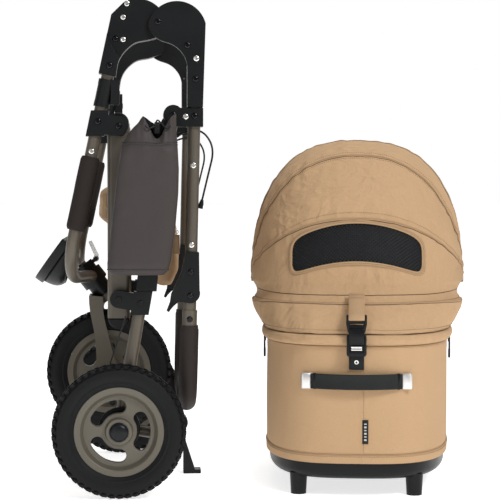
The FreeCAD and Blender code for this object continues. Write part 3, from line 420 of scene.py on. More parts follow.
def stitch_tree():
    """A running stitch along the seam lines of the given mesh."""
    graph, give = geometry_tree("Running stitch", [
            ("Pitch", "Float", 0.004), ("Stitch length", "Float", 0.0027), ("Thread", "Float", 0.0006)])
    line = graph.add("GeometryNodeMeshToCurve", {0: give["Geometry"]})
    spaced = graph.add("GeometryNodeResampleCurve", {"Curve": line.outputs[0], "Length": give["Pitch"]},
        mode="LENGTH")
    bead = graph.add("GeometryNodeMeshUVSphere", {"Segments": 5, "Rings": 4, "Radius": 1.0})
    tangent = graph.add("GeometryNodeInputTangent")
    turn = graph.add("FunctionNodeAlignRotationToVector", {"Vector": tangent.outputs[0]}, axis="X")
    half = graph.math("MULTIPLY", give["Stitch length"], 0.5)
    size = graph.add("ShaderNodeCombineXYZ", {"X": half, "Y": give["Thread"], "Z": give["Thread"]})
    placed = graph.add("GeometryNodeInstanceOnPoints",
        {"Points": spaced.outputs[0], "Instance": bead.outputs[0],
            "Rotation": turn.outputs[0], "Scale": size.outputs[0]})
    return close_tree(graph, placed.outputs[0], give["Finish"])


def screw_tree():
    """Screw or rivet heads on the points of the given mesh, facing along Y."""
    graph, give = geometry_tree("Screw heads", [
            ("Head", "Object", None), ("Size", "Float", 1.0), ("Facing", "Float", 1.0)])
    item = graph.add("GeometryNodeObjectInfo", {"Object": give["Head"]})
    points = graph.add("GeometryNodeMeshToPoints", {0: give["Geometry"]})
    turn = graph.add("ShaderNodeCombineXYZ", {"X": graph.math("MULTIPLY", give["Facing"], -math.pi / 2)})
    size = graph.add("ShaderNodeCombineXYZ", {"X": give["Size"], "Y": give["Size"], "Z": give["Size"]})
    placed = graph.add("GeometryNodeInstanceOnPoints", {"Points": points.outputs[0],
            "Instance": item.outputs["Geometry"],
            "Rotation": turn.outputs[0], "Scale": size.outputs[0]})
    return close_tree(graph, placed.outputs[0], give["Finish"])


def seam_lines(lines):
    """A mesh of loose lines for the stitch tree."""
    points, edges = [], []
    for line in lines:
        start = len(points)
        points.extend(tuple(p) for p in line)
        edges.extend((start + i, start + i + 1) for i in range(len(line) - 1))
    mesh = bpy.data.meshes.new("seam_lines")
    mesh.from_pydata(points, edges, [])
    return mesh


TREES = {}


def tree(name):
    makers = {"tread": tread_tree, "stitch": stitch_tree, "screw": screw_tree}
    if name not in TREES:
        TREES[name] = makers[name]()
    return TREES[name]


def stitched(name, lines, body, pitch=None, colour="thread"):
    sewing = bpy.context.scene.stroller.sewing
    run = grown(name, tree("stitch"),
        {"Pitch": pitch or sewing.pitch, "Stitch length": (pitch or sewing.pitch) * 0.66,
            "Thread": sewing.thread / 2, "Finish": finish(colour)}, seam_lines(lines))
    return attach(run, body)


# ---- shader groups --------------------------------------------------------------------------
def shader_group(name, inputs, outputs):
    made = bpy.data.node_groups.new(name, "ShaderNodeTree")
    sockets(made, "INPUT", inputs)
    sockets(made, "OUTPUT", outputs)
    graph = Graph(made)
    return graph, graph.add("NodeGroupInput").outputs


def tone_group():
    """Slow colour drift with a second colour that shows in patches, and a roughness mask."""
    graph, give = shader_group("Surface tone", [
            ("Place", "Vector", None), ("Colour", "Color", (0.5, 0.5, 0.5, 1)),
            ("Worn colour", "Color", (0.6, 0.6, 0.6, 1)),
            ("Scale", "Float", 8.0), ("Drift", "Float", 0.1), ("Wear", "Float", 0.2),
            ("Roughness", "Float", 0.5)],
        [("Colour", "Color", None), ("Roughness", "Float", None)])
    cloud = graph.add("ShaderNodeTexNoise", {"Vector": give["Place"], "Scale": give["Scale"], "Detail": 4.0})
    centred = graph.math("SUBTRACT", cloud.outputs[0], 0.5)
    shade = graph.math("ADD", graph.math("MULTIPLY", centred, give["Drift"]), 1.0)
    tinted = graph.add("ShaderNodeVectorMath", {0: give["Colour"], "Scale": shade}, operation="SCALE")
    fine = graph.add("ShaderNodeTexNoise",
        {"Vector": give["Place"], "Scale": graph.math("MULTIPLY", give["Scale"], 9.0),
            "Detail": 6.0, "Roughness": 0.7})
    spots = graph.add("ShaderNodeMapRange", {"Value": fine.outputs[0], "From Min": 0.56, "From Max": 0.75})
    mask = graph.math("MULTIPLY", spots.outputs[0], give["Wear"], clamp=True)
    mixed = graph.add("ShaderNodeMix", {0: mask, 6: tinted.outputs[0], 7: give["Worn colour"]},
        data_type="RGBA")
    return finish_group(graph, [("Colour", mixed.outputs[2]),
            ("Roughness", graph.math("ADD", give["Roughness"], graph.math("MULTIPLY", centred, 0.25)))])


def finish_group(graph, results):
    out = graph.add("NodeGroupOutput")
    for label, socket in results:
        graph.tree.links.new(socket, out.inputs[label])
    return graph.tree


def weave_group():
    """Plain weave: crossing threads as height, and the same pattern as a thread tone."""
    graph, give = shader_group("Plain weave", [
            ("Place", "Vector", None), ("Threads per metre", "Float", 1200.0), ("Slub", "Float", 0.3)],
        [("Height", "Float", None), ("Tone", "Float", None)])
    wobble = graph.add("ShaderNodeTexNoise", {"Vector": give["Place"], "Scale": 60.0, "Detail": 2.0})
    bent = graph.add("ShaderNodeVectorMath", {0: give["Place"], "Scale": give["Threads per metre"]},
        operation="SCALE")
    moved = graph.add("ShaderNodeVectorMath", {0: bent.outputs[0], 1: wobble.outputs["Color"]},
        operation="ADD")
    axes = graph.add("ShaderNodeSeparateXYZ", {0: moved.outputs[0]})
    warp = graph.math("SINE", graph.math("MULTIPLY", axes.outputs[0], math.pi))
    weft = graph.math("SINE", graph.math("MULTIPLY", axes.outputs[1], math.pi))
    over = graph.math("MULTIPLY", warp, weft)
    lift = graph.math("ADD", graph.math("MULTIPLY", over, 0.5), 0.5)
    slub = graph.add("ShaderNodeTexNoise", {"Vector": moved.outputs[0], "Scale": 0.7, "Detail": 2.0})
    uneven = graph.math("MULTIPLY", slub.outputs[0], give["Slub"])
    return finish_group(graph, [("Height", graph.math("ADD", lift, uneven)),
            ("Tone", graph.math("ADD", graph.math("MULTIPLY", lift, 0.12),
                graph.math("ADD", uneven, 0.82)))])


def crease_group():
    """Soft folds of cloth or skin as height, long in one direction."""
    graph, give = shader_group("Cloth creases", [
            ("Place", "Vector", None), ("Scale", "Float", 10.0), ("Stretch", "Vector", (1, 1, 1))],
        [("Height", "Float", None)])
    pulled = graph.add("ShaderNodeVectorMath", {0: give["Place"], 1: give["Stretch"]}, operation="MULTIPLY")
    broad = graph.add("ShaderNodeTexNoise",
        {"Vector": pulled.outputs[0], "Scale": give["Scale"], "Detail": 3.0,
            "Distortion": 1.2})
    fold = graph.math("ABSOLUTE", graph.math("SUBTRACT", broad.outputs[0], 0.5))
    ridge = graph.math("SUBTRACT", 0.35, graph.math("MINIMUM", fold, 0.35))
    soft = graph.add("ShaderNodeTexNoise",
        {"Vector": pulled.outputs[0], "Scale": graph.math("MULTIPLY", give["Scale"], 3.1),
            "Detail": 2.0})
    return finish_group(graph,
        [("Height", graph.math("ADD", ridge, graph.math("MULTIPLY", soft.outputs[0], 0.35)))])


def grain_group():
    """Moulded or pebbled grain as height."""
    graph, give = shader_group("Moulded grain", [
            ("Place", "Vector", None), ("Scale", "Float", 900.0), ("Pebble", "Float", 0.0)],
        [("Height", "Float", None)])
    speck = graph.add("ShaderNodeTexNoise", {"Vector": give["Place"], "Scale": give["Scale"], "Detail": 3.0})
    cells = graph.add("ShaderNodeTexVoronoi", {"Vector": give["Place"], "Scale": give["Scale"]},
        feature="SMOOTH_F1")
    mixed = graph.add("ShaderNodeMix", {0: give["Pebble"], 2: speck.outputs[0], 3: cells.outputs[0]})
    return finish_group(graph, [("Height", mixed.outputs[0])])


# ---- finishes -------------------------------------------------------------------------------
FINISHES = {}
GROUPS = {}


def group(name):
    makers = {"tone": tone_group, "weave": weave_group, "crease": crease_group, "grain": grain_group}
    if name not in GROUPS:
        GROUPS[name] = makers[name]()
    return GROUPS[name]


def start_finish(name, colour, worn, roughness, scale=8.0, drift=0.12, wear=0.15, place="Object", **fixed):
    """A material with the surface tone in place; returns its graph, shader, place socket and tone node."""
    material = bpy.data.materials.new(name)
    material.use_nodes = True
    material.node_tree.nodes.clear()
    graph = Graph(material.node_tree)
    where = graph.add("ShaderNodeTexCoord")
    tone = graph.add("ShaderNodeGroup", node_tree=group("tone"))
    for key, value in (("Colour", (*colour, 1)), ("Worn colour", (*worn, 1)), ("Scale", scale),
            ("Drift", drift),
            ("Wear", wear), ("Roughness", roughness)):
        tone.inputs[key].default_value = value
    graph.tree.links.new(where.outputs["Object"], tone.inputs["Place"])
    shader = graph.add("ShaderNodeBsdfPrincipled", {"Base Color": tone.outputs["Colour"],
            "Roughness": tone.outputs["Roughness"]})
    for key, value in fixed.items():
        shader.inputs[key.replace("_", " ")].default_value = value
    graph.add("ShaderNodeOutputMaterial", {"Surface": shader.outputs[0]})
    return material, graph, shader, where.outputs[place], tone


def add_group(graph, name, place, **values):
    made = graph.add("ShaderNodeGroup", node_tree=group(name))
    graph.tree.links.new(place, made.inputs["Place"])
    for key, value in values.items():
        made.inputs[key.replace("_", " ")].default_value = value
    return made


def bump(graph, shader, heights):
    """Feeds the shader's normal from one Bump node for each (height socket, depth in metres)."""
    last = None
    for height, depth in heights:
        inputs = {"Height": height, "Distance": depth, "Strength": 1.0}
        if last is not None:
            inputs["Normal"] = last.outputs[0]
        last = graph.add("ShaderNodeBump", inputs)
    graph.tree.links.new(last.outputs[0], shader.inputs["Normal"])


def painted(name, colour, roughness=0.38):
    """Satin powder coat with a faint orange peel and a few scuffs."""
    material, graph, shader, place, _ = start_finish(
        name, colour, tuple(c * 1.5 for c in colour), roughness, 14.0, 0.1, 0.1, Metallic=0.25)
    peel = add_group(graph, "grain", place, Scale=650.0)
    bump(graph, shader, [(peel.outputs[0], 0.00006)])
    return material


def moulded(name, colour, roughness=0.38, depth=0.00007):
    """Black moulded plastic with a spark-eroded grain and lighter handling marks."""
    material, graph, shader, place, _ = start_finish(
        name, colour, tuple(c * 1.9 + 0.002 for c in colour), roughness, 11.0, 0.22, 0.14,
        Specular_IOR_Level=0.2)
    fine = add_group(graph, "grain", place, Scale=1500.0)
    bump(graph, shader, [(fine.outputs[0], depth)])
    return material


def rubbery(name, colour):
    material, graph, shader, place, _ = start_finish(
        name, colour, tuple(c * 2.4 for c in colour), 0.62, 18.0, 0.3, 0.3, Specular_IOR_Level=0.2)
    fine = add_group(graph, "grain", place, Scale=1100.0)
    broad = add_group(graph, "grain", place, Scale=90.0)
    bump(graph, shader, [(broad.outputs[0], 0.0003), (fine.outputs[0], 0.00015)])
    return material


def steel(name, colour, roughness=0.24):
    material, graph, shader, place, _ = start_finish(
        name, colour, tuple(c * 0.7 for c in colour), roughness, 40.0, 0.1, 0.3, Metallic=1.0)
    fine = add_group(graph, "grain", place, Scale=2400.0)
    bump(graph, shader, [(fine.outputs[0], 0.00002)])
    return material


def woven(name, colour, threads=1300.0, place="Object", creases=((9.0, 0.006, (1, 1, 1)),), depth=0.00022,
        roughness=0.8, drift=0.1, sheen=0.06):
    """Woven cloth: crossing threads, thread tone, slow drift and soft creases."""
    material, graph, shader, where, tone = start_finish(
        name, colour, tuple(min(1.0, c * 1.08) for c in colour), roughness, 5.0, drift, 0.3, place,
        Sheen_Weight=sheen, Sheen_Roughness=0.5, Specular_IOR_Level=0.2)
    shader.inputs["Sheen Tint"].default_value = (*colour, 1)
    weave = add_group(graph, "weave", where, Threads_per_metre=threads)
    tinted = graph.add("ShaderNodeVectorMath", {0: tone.outputs["Colour"], "Scale": weave.outputs["Tone"]},
        operation="SCALE")
    graph.tree.links.new(tinted.outputs[0], shader.inputs["Base Color"])
    body = graph.tree.nodes["Texture Coordinate"].outputs["Object"]
    heights = []
    for scale, deep, stretch in creases:
        fold = add_group(graph, "crease", body, Scale=scale, Stretch=stretch)
        heights.append((fold.outputs[0], deep))
    bump(graph, shader, heights + [(weave.outputs["Height"], depth)])
    return material


def leathery(name, colour, pebble=0.8, scale=700.0, depth=0.00025, roughness=0.5):
    material, graph, shader, place, _ = start_finish(
        name, colour, tuple(c * 1.5 for c in colour), roughness, 9.0, 0.18, 0.25, Specular_IOR_Level=0.15)
    skin = add_group(graph, "grain", place, Scale=scale, Pebble=pebble)
    fold = add_group(graph, "crease", place, Scale=26.0, Stretch=(1, 1, 0.5))
    bump(graph, shader, [(fold.outputs[0], 0.0008), (skin.outputs[0], depth)])
    return material


def netting(name, colour):
    """Fine window mesh: round-cornered holes on the piece's own cloth map, filled with painted shade."""
    material, graph, shader, where, tone = start_finish(name, colour, tuple(c * 3 for c in colour), 0.6, 60.0,
        0.3, 0.4, "UV", Specular_IOR_Level=0.15)
    scaled = graph.add("ShaderNodeVectorMath", {0: where, "Scale": 300.0}, operation="SCALE")
    axes = graph.add("ShaderNodeSeparateXYZ", {0: scaled.outputs[0]})
    slant = graph.math("ADD", axes.outputs[0], axes.outputs[1])
    other = graph.math("SUBTRACT", axes.outputs[0], axes.outputs[1])
    one = graph.math("ABSOLUTE", graph.math("SINE", graph.math("MULTIPLY", slant, math.pi / 2)))
    two = graph.math("ABSOLUTE", graph.math("SINE", graph.math("MULTIPLY", other, math.pi / 2)))
    hole = graph.math("MULTIPLY", one, two)
    # holes stay 70% opaque at a quarter of the net's colour: painted shade of the hood's inside seen through
    # them
    solid = graph.math("LESS_THAN", hole, 0.5)
    alpha = graph.math("ADD", graph.math("MULTIPLY", solid, 0.3), 0.7)
    graph.tree.links.new(alpha, shader.inputs["Alpha"])
    net_with_hole_shade = graph.add("ShaderNodeVectorMath",
        {0: tone.outputs["Colour"], "Scale": graph.math("ADD", solid, 0.25)},
        operation="SCALE")
    graph.tree.links.new(net_with_hole_shade.outputs[0], shader.inputs["Base Color"])
    bump(graph, shader, [(graph.math("SUBTRACT", 1.0, hole), 0.0004)])
    return material


def make_finish(name):
    colours = bpy.context.scene.stroller.colours
    tan = tuple(colours.canvas)
    bag = tuple(colours.bag)
    makers = {
        "paint": lambda: painted("frame_paint", tuple(colours.paint)),
        "rim": lambda: painted("rim_paint", tuple(colours.rim), 0.5),
        "plastic": lambda: moulded("black_plastic", tuple(colours.plastic)),
        "glossy": lambda: moulded("smooth_plastic", tuple(colours.plastic), 0.26, 0.00003),
        "cap": lambda: moulded("hub_cap_plastic", tuple(c * 1.6 for c in colours.plastic), 0.28, 0.00003),
        "rubber": lambda: rubbery("tyre_rubber", tuple(colours.rubber)),
        "steel": lambda: steel("bright_steel", (0.8, 0.79, 0.76), 0.2),
        "satin": lambda: steel("satin_plate", (0.72, 0.71, 0.69), 0.42),
        "dark": lambda: steel("dark_steel", (0.03, 0.03, 0.033), 0.18),
        "grip": lambda: leathery("grip_leatherette", tuple(colours.grip)),
        "foam": lambda: leathery("foam_grip", tuple(c * 0.9 for c in colours.grip), 0.2, 1300.0, 0.0002,
            0.75),
        "canvas": lambda: woven("tan_canvas", tan, place="UV", creases=((8.0, 0.014, (1, 1, 1)),
                (26.0, 0.0045, (1, 1, 0.6)))),
        "wall": lambda: woven("tan_canvas_taut", tan, place="UV", creases=((5.0, 0.006, (1, 1, 0.6)),)),
        "piping": lambda: woven("tan_piping", tuple(c * 0.8 for c in tan),
            creases=((60.0, 0.0004, (1, 1, 1)),)),
        "crumpled": lambda: woven("tan_lining", tuple(c * 0.85 for c in tan), 1100.0,
            creases=((16.0, 0.006, (1, 1, 1)),), roughness=0.6),
        "tag": lambda: leathery("tan_leather", tuple(c * 0.95 for c in tan), 0.8, 900.0, 0.0002),
        "thread": lambda: woven("tan_thread", tuple(c * 0.45 for c in tan), 3000.0,
            creases=((90.0, 0.0002, (1, 1, 1)),)),
        # near-black tan for the thin tubes beside the hood's seams: painted seam shadow
        "shade": lambda: woven("seam_shadow", tuple(c * 0.22 for c in tan),
            creases=((60.0, 0.0002, (1, 1, 1)),),
            sheen=0.0),
        "bag": lambda: woven("bag_nylon", bag, 1500.0,
            creases=((8.0, 0.004, (1, 1, 0.6)), (26.0, 0.001, (1, 1, 1))),
            depth=0.00012, roughness=0.55),
        # near-black: black stitching on the bag and tab, and painted shade inside the bag's neck
        "lining": lambda: woven("black_lining", (0.007, 0.007, 0.008), creases=((30.0, 0.003, (1, 1, 1)),),
            sheen=0.05),
        "webbing": lambda: woven("black_webbing", (0.014, 0.0155, 0.0155), 700.0,
            creases=((40.0, 0.0003, (1, 1, 1)),),
            depth=0.0003, roughness=0.6, sheen=0.03),
        "tape": lambda: woven("tan_webbing", tuple(c * 0.86 for c in tan), 800.0,
            creases=((40.0, 0.0003, (1, 1, 1)),),
            depth=0.0003),
        "net": lambda: netting("window_net", (0.011, 0.012, 0.013)),
        "cable": lambda: moulded("cable_sleeve", (0.012, 0.012, 0.013), 0.35, 0.00003),
        "rod": lambda: moulded("hood_rod", (0.06, 0.06, 0.06), 0.4),
        "mark": lambda: woven("label_print", (0.5, 0.5, 0.48), creases=((60.0, 0.0002, (1, 1, 1)),),
            sheen=0.0),
    }
    return makers[name]()


def finish(name):
    if name not in FINISHES:
        FINISHES[name] = make_finish(name)
    return FINISHES[name]


def coat(material, *nodes):
    """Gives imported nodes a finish."""
    for node in nodes:
        data = frame["nodes"][node].data
        data.materials.clear()
        data.materials.append(finish(material))


def rounded_copy(node, edge, material, name=None, steps=2, angle=38.0):
    """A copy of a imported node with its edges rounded, which stands for it."""
    source = frame["nodes"][node]
    shape = bmesh.new()
    shape.from_mesh(source.data)
    bmesh.ops.remove_doubles(shape, verts=shape.verts, dist=1e-5)
    bmesh.ops.dissolve_limit(shape, angle_limit=math.radians(1.0), verts=shape.verts, edges=shape.edges)
    mesh = bpy.data.meshes.new(name or node + "_moulding")
    shape.to_mesh(mesh)
    shape.free()
    mesh.materials.append(finish(material))
    made = shown(name or node + "_moulding", mesh, 180)
    soften = made.modifiers.new("Rounding", "BEVEL")
    soften.width = edge
    soften.segments = steps
    soften.limit_method = "ANGLE"
    soften.angle_limit = math.radians(angle)
    soften.use_clamp_overlap = True
    weigh = made.modifiers.new("Normals", "WEIGHTED_NORMAL")
    weigh.keep_sharp = True
    made.data.set_sharp_from_angle(angle=math.radians(30))
    finished(made)
    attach(made, source["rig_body"])
    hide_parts(node)
    return made


# ---- settings -------------------------------------------------------------------------------
def colour_prop(name, text, value):
    return bpy.props.FloatVectorProperty(name=name, description=text, subtype="COLOR", size=3, min=0, max=1,
        default=value)


def length_prop(name, text, value):
    return bpy.props.FloatProperty(name=name, description=text, default=value, unit="LENGTH")


class StrollerColours(bpy.types.PropertyGroup):
    paint: colour_prop("Frame paint", "Olive-drab powder coat of the tubes", (0.098, 0.083, 0.062))
    rim: colour_prop("Rim paint", "Wheel rims", (0.115, 0.102, 0.078))
    plastic: colour_prop("Plastic", "Black mouldings", (0.0055, 0.006, 0.0066))
    rubber: colour_prop("Rubber", "Tyres", (0.0055, 0.0058, 0.0064))
    canvas: colour_prop("Canvas", "Carrier and hood cloth", (0.47, 0.305, 0.17))
    bag: colour_prop("Bag nylon", "Storage bag", (0.047, 0.040, 0.038))
    grip: colour_prop("Grips", "Push bar cover and foam sleeves", (0.026, 0.020, 0.018))


class StrollerWheels(bpy.types.PropertyGroup):
    blocks: bpy.props.IntProperty(name="Tread blocks", description="Blocks in one row round a tyre",
        default=50)
    block: bpy.props.FloatVectorProperty(name="Block size",
        description="Out, along and across one tread block",
        default=(0.0048, 0.0080, 0.0110), unit="LENGTH")


class StrollerHood(bpy.types.PropertyGroup):
    sag: length_prop("Sag", "How far the cloth sinks between two hoops", 0.003)
    pucker: length_prop("Pucker", "Height of the gathers beside a seam", 0.0012)
    seam: length_prop("Seam", "Radius of the piping over a hoop", 0.0017)


class StrollerSewing(bpy.types.PropertyGroup):
    pitch: length_prop("Stitch pitch", "Distance from one stitch to the next", 0.004)
    thread: length_prop("Thread", "Thickness of the sewing thread", 0.0011)


class StrollerSettings(bpy.types.PropertyGroup):
    colours: bpy.props.PointerProperty(type=StrollerColours)
    wheels: bpy.props.PointerProperty(type=StrollerWheels)
    hood: bpy.props.PointerProperty(type=StrollerHood)
    sewing: bpy.props.PointerProperty(type=StrollerSewing)


# ---- stage ----------------------------------------------------------------------------------
class STROLLER_OT_stage(bpy.types.Operator):
    """Adds the pale floor, the soft studio lights and the camera"""
    bl_idname = "stroller.stage"
    bl_label = "Stage"

    def execute(self, context):
        scene = context.scene
        world = bpy.data.worlds.new("studio")
        scene.world = world
        world.use_nodes = True
        back = world.node_tree.nodes["Background"]
        back.inputs["Color"].default_value = (1, 1, 1, 1)
        sky = Graph(world.node_tree)
        where = sky.add("ShaderNodeTexCoord")
        axes = sky.add("ShaderNodeSeparateXYZ", {0: where.outputs["Generated"]})
        behind = sky.add("ShaderNodeMapRange", {0: axes.outputs[1], 1: 0.3, 2: 0.9, 3: 0.24, 4: 1.0})
        world.node_tree.links.new(behind.outputs[0], back.inputs["Strength"])
        pattern = Pattern()
        pattern.sheet([[(x, y, 0.0) for x in (-30, 30)] for y in (-8, 60)])
        floor = pattern.piece("studio_floor", [self.floor_finish()])
        aim = Vector((0, 0, 0.35))
        self.lamp("key", (1.6, -2.6, 2.6), aim, 1.0, 78)
        self.lamp("fill", (-1.9, -2.6, 1.0), aim, 2.0, 9)
        self.lamp("top", (0.2, 0.1, 2.6), aim, 1.0, 20)
        data = bpy.data.cameras.new("camera")
        data.lens = 111.5
        data.sensor_width = 36.0
        data.clip_end = 100
        camera = bpy.data.objects.new("camera", data)
        scene.collection.objects.link(camera)
        camera.location = SHIFT + Vector((0.0, -2.872, 0.520))
        camera.rotation_euler = (math.radians(90 - 2.1), 0, math.radians(-3.95))
        scene.camera = camera
        scene.view_settings.view_transform = "Standard"
        return {"FINISHED"}

    def lamp(self, name, place, aim, size, power):
        data = bpy.data.lights.new(name, "AREA")
        data.size = size
        data.energy = power
        lamp = bpy.data.objects.new(name, data)
        bpy.context.scene.collection.objects.link(lamp)
        lamp.location = place
        lamp.rotation_euler = (aim - Vector(place)).to_track_quat("-Z", "Y").to_euler()

    def floor_finish(self):
        material = bpy.data.materials.new("pale_floor")
        material.use_nodes = True
        shader = material.node_tree.nodes["Principled BSDF"]
        shader.inputs["Base Color"].default_value = (0.96, 0.96, 0.96, 1)
        shader.inputs["Roughness"].default_value = 0.9
        shader.inputs["Emission Color"].default_value = (1, 1, 1, 1)
        shader.inputs["Emission Strength"].default_value = 0.72
        return material


# ---- frame ----------------------------------------------------------------------------------
WHEELS = (("rear_left", (-41.7, -235.0, 115.0), "rear_wheel_left", -1),
    ("rear_right", (-41.7, 235.0, 115.0), "rear_wheel_right", 1),
    ("front", (-63.1, 0.0, 191.6), "front_wheel", 0))


class STROLLER_OT_wheels(bpy.types.Operator):
    """Makes the tyres with their tread, and finishes rims, bearings and hub caps"""
    bl_idname = "stroller.wheels"
    bl_label = "Wheels"

    def execute(self, context):
        for name, centre, body, caps in WHEELS:
            place = spot(*centre)
            self.tyre(name, place, body)
            rim = rounded_copy("rim_" + name, 0.0011, "rim", "rim_casting_" + name, 2, 30)
            coat("steel", "bearings_" + name)
            if caps:
                self.hub_cap(name, place, body, caps)
        coat("steel", "stub_axles", "front_axle")
        return {"FINISHED"}

    def tyre(self, name, place, body):
        wheels = bpy.context.scene.stroller.wheels
        half = [(76.6, 15.3), (79.5, 16.9), (82.5, 18.6), (83.6, 19.6), (85.2, 19.7), (86.4, 19.3),
            (90, 20.8), (95.8, 21.6),
            (101, 20.9), (103.4, 20.0), (104.2, 20.1), (106, 19.0), (109.2, 15.6), (111.4, 10.0),
            (112.2, 4.0),
            (112.3, 0.0)]
        outline = half + [(r, -y) for r, y in reversed(half[:-1])]
        pattern = Pattern()
        lathe(pattern, [(r * MM, y * MM) for r, y in outline], place, steps=128)
        casing = outward(pattern.piece("tyre_casing_" + name, [finish("rubber")], smooth=32))
        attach(casing, body)
        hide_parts("tyre_" + name)
        blocks = grown("tyre_tread_" + name, tree("tread"), {
                "Blocks": wheels.blocks, "Radius": 0.1128, "Block": tuple(wheels.block), "Row offset": 0.0140,
                "Row drop": 0.0022, "Lean": 0.55, "Centre": tuple(place), "Finish": finish("rubber")})
        blocks.data.set_sharp_from_angle(angle=math.radians(30))
        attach(blocks, body)

    def hub_cap(self, name, place, body, out):
        low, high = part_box("hub_cap_" + name)
        face = low.y if out > 0 else high.y
        radius = (high.x - low.x) / 2
        depth = high.y - low.y
        outline = [(0.0, 1.0), (0.25, 0.985), (0.5, 0.92), (0.7, 0.8), (0.84, 0.62), (0.91, 0.42),
            (0.93, 0.3),
            (0.96, 0.28), (1.0, 0.2), (1.0, 0.0), (0.8, 0.0), (0.0, 0.0)]
        pattern = Pattern()
        rows = []
        for i in range(64):
            turn = 2 * math.pi * i / 64
            rows.append([Vector((place.x + radius * r * math.cos(turn), face + out * depth * y,
                        place.z + radius * r * math.sin(turn))) for r, y in outline])
        pattern.sheet(rows, 0, tube=True)
        cap = outward(pattern.piece("hub_cap_dome_" + name, [finish("cap")], merge=1e-6, smooth=50))
        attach(cap, body)
        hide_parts("hub_cap_" + name)


class STROLLER_OT_tubes(bpy.types.Operator):
    """Gives the painted tubes, rails and fork their coat"""
    bl_idname = "stroller.tubes"
    bl_label = "Tubes and rails"

    def execute(self, context):
        coat("paint", "rear_legs", "rear_yoke", "cross_tube", "handle_tubes", "front_tubes", "push_bar",
            "side_rails")
        rounded_copy("fork", 0.0025, "paint", "fork_arms", 3, 50)
        return {"FINISHED"}


MOULDINGS = (("rear_hubs", 0.0016), ("front_hubs", 0.0016), ("leg_clevises", 0.0016), ("rail_clamps", 0.0016),
    ("rail_brackets", 0.0012), ("lever_housings", 0.0022), ("brake_lever_left", 0.0012),
    ("brake_lever_right", 0.0012), ("steering_housing", 0.0014), ("front_tray", 0.0014), ("rail_caps", 0.002),
    ("stand_foot", 0.0014), ("brake_drums", 0.0012), ("lock_sleeves", 0.001), ("cord_lock", 0.0012),
    ("cord_lock_button", 0.001))


class STROLLER_OT_mouldings(bpy.types.Operator):
    """Rounds the edges of the black mouldings of the frame"""
    bl_idname = "stroller.mouldings"
    bl_label = "Mouldings"

    def execute(self, context):
        for node, edge in MOULDINGS:
            rounded_copy(node, edge, "plastic")
        rounded_copy("swivel_lock_lever", 0.0009, "steel")
        self.scoop()
        return {"FINISHED"}

    def scoop(self):
        """The footrest's dished underside, from its band back to the steering head."""
        root, out = Vector((-128.0, 0, 432.0)), Vector((-0.593, 0, -0.805))
        rows = []
        for i in range(41):
            turn = math.radians(-84 + 168 * i / 40)
            rim = root + out * (6 + 84.0 * math.cos(turn)) + Vector((0, 86.0 * math.sin(turn), 0))
            deep = Vector((-143.0, 58.0 * math.sin(turn), 356.0))
            heel = root.lerp(deep, math.cos(turn) ** 0.6)
            heel.y = 74.0 * math.sin(turn)
            row = []
            for k in range(9):
                share = k / 8
                bowed = rim.lerp(heel, share) + Vector((0.35, 0, -0.94)) * 7.0 * math.sin(math.pi * share)
                row.append(spot(*bowed))
            rows.append(row)
        pattern = Pattern()
        pattern.sheet(rows, 0)
        dish = pattern.piece("tray_scoop", [finish("plastic")], smooth=60)
        wall = dish.modifiers.new("Wall", "SOLIDIFY")
        wall.thickness = 0.0026
        wall.offset = 0
        finished(dish)
        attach(dish, "front_frame")


# ---- screws, straps, grips and cables -------------------------------------------------------
NEAR_SCREWS = (
    ("front_frame", "dark", ((26.2, 813.3, 206.3), (-56.5, 738.6, 203.0), (-46.7, 784.7, 193.6),
            (-76.8, 643.1, 200.5), (-41.7, 635.3, 200.5))),
    ("front_frame", "steel", ((-26.8, 844.8, 193.6), (-33.4, 821.9, 193.6), (-33.3, 783.8, 193.6),
            (-87.7, 591.9, 195.8))),
    ("handle", "dark", ((90.3, 715.8, 206.0), (76.4, 773.4, 206.0), (52.1, 654.9, 202.0),
            (88.8, 652.8, 202.0),
            (82.2, 384.0, 200.0), (81.2, 343.0, 200.0), (80.2, 302.0, 197.9))),
    ("handle", "steel", ((91.8, 751.0, 206.0), (73.5, 651.6, 202.0), (86.7, 567.9, 195.8),
            (83.4, 430.4, 195.8))),
)


class STROLLER_OT_screws(bpy.types.Operator):
    """Sets the socket screws and rivets on hubs, brackets and tubes"""
    bl_idname = "stroller.screws"
    bl_label = "Screws"

    def execute(self, context):
        head = self.screw_head()
        for body, metal, places in NEAR_SCREWS:
            runs = []
            for side in (-1, 1):
                mesh = bpy.data.meshes.new("screw_places")
                mesh.from_pydata([tuple(spot(x, side * y, z)) for x, z, y in places], [], [])
                runs.append(grown("screws", tree("screw"), {"Head": head, "Size": 1.0, "Facing": float(side),
                            "Finish": finish(metal)}, mesh))
            whole = joined("%s_screws_%s" % (body, metal), runs)
            whole.data.set_sharp_from_angle(angle=math.radians(35))
            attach(whole, body)
            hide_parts("front_screws" if body == "front_frame" else "handle_screws")
        bpy.data.objects.remove(head)
        return {"FINISHED"}

    def screw_head(self):
        """A button head with a hexagon socket, facing +Z."""
        pattern = Pattern()
        rings = []
        for radius, height, corners in ((5.5, 0.0, 0), (5.45, 0.5, 0), (5.0, 1.5, 0), (4.1, 2.2, 0),
                (2.9, 2.45, 0),
                (2.6, 2.4, 1), (2.45, 2.2, 1), (2.4, 1.0, 1)):
            ring = []
            for i in range(24):
                turn = 2 * math.pi * i / 24
                r = radius
                if corners:
                    r = radius * math.cos(math.pi / 6) / math.cos((turn % (math.pi / 3)) - math.pi / 6)
                ring.append(Vector((r * math.cos(turn), r * math.sin(turn), height)) * MM)
            rings.append(ring)
        pattern.sheet(rings, ring=True)
        pattern.cap(rings[-1])
        pattern.cap(rings[0], flip=True)
        return pattern.piece("button_head", [finish("steel")], merge=1e-7, smooth=35)


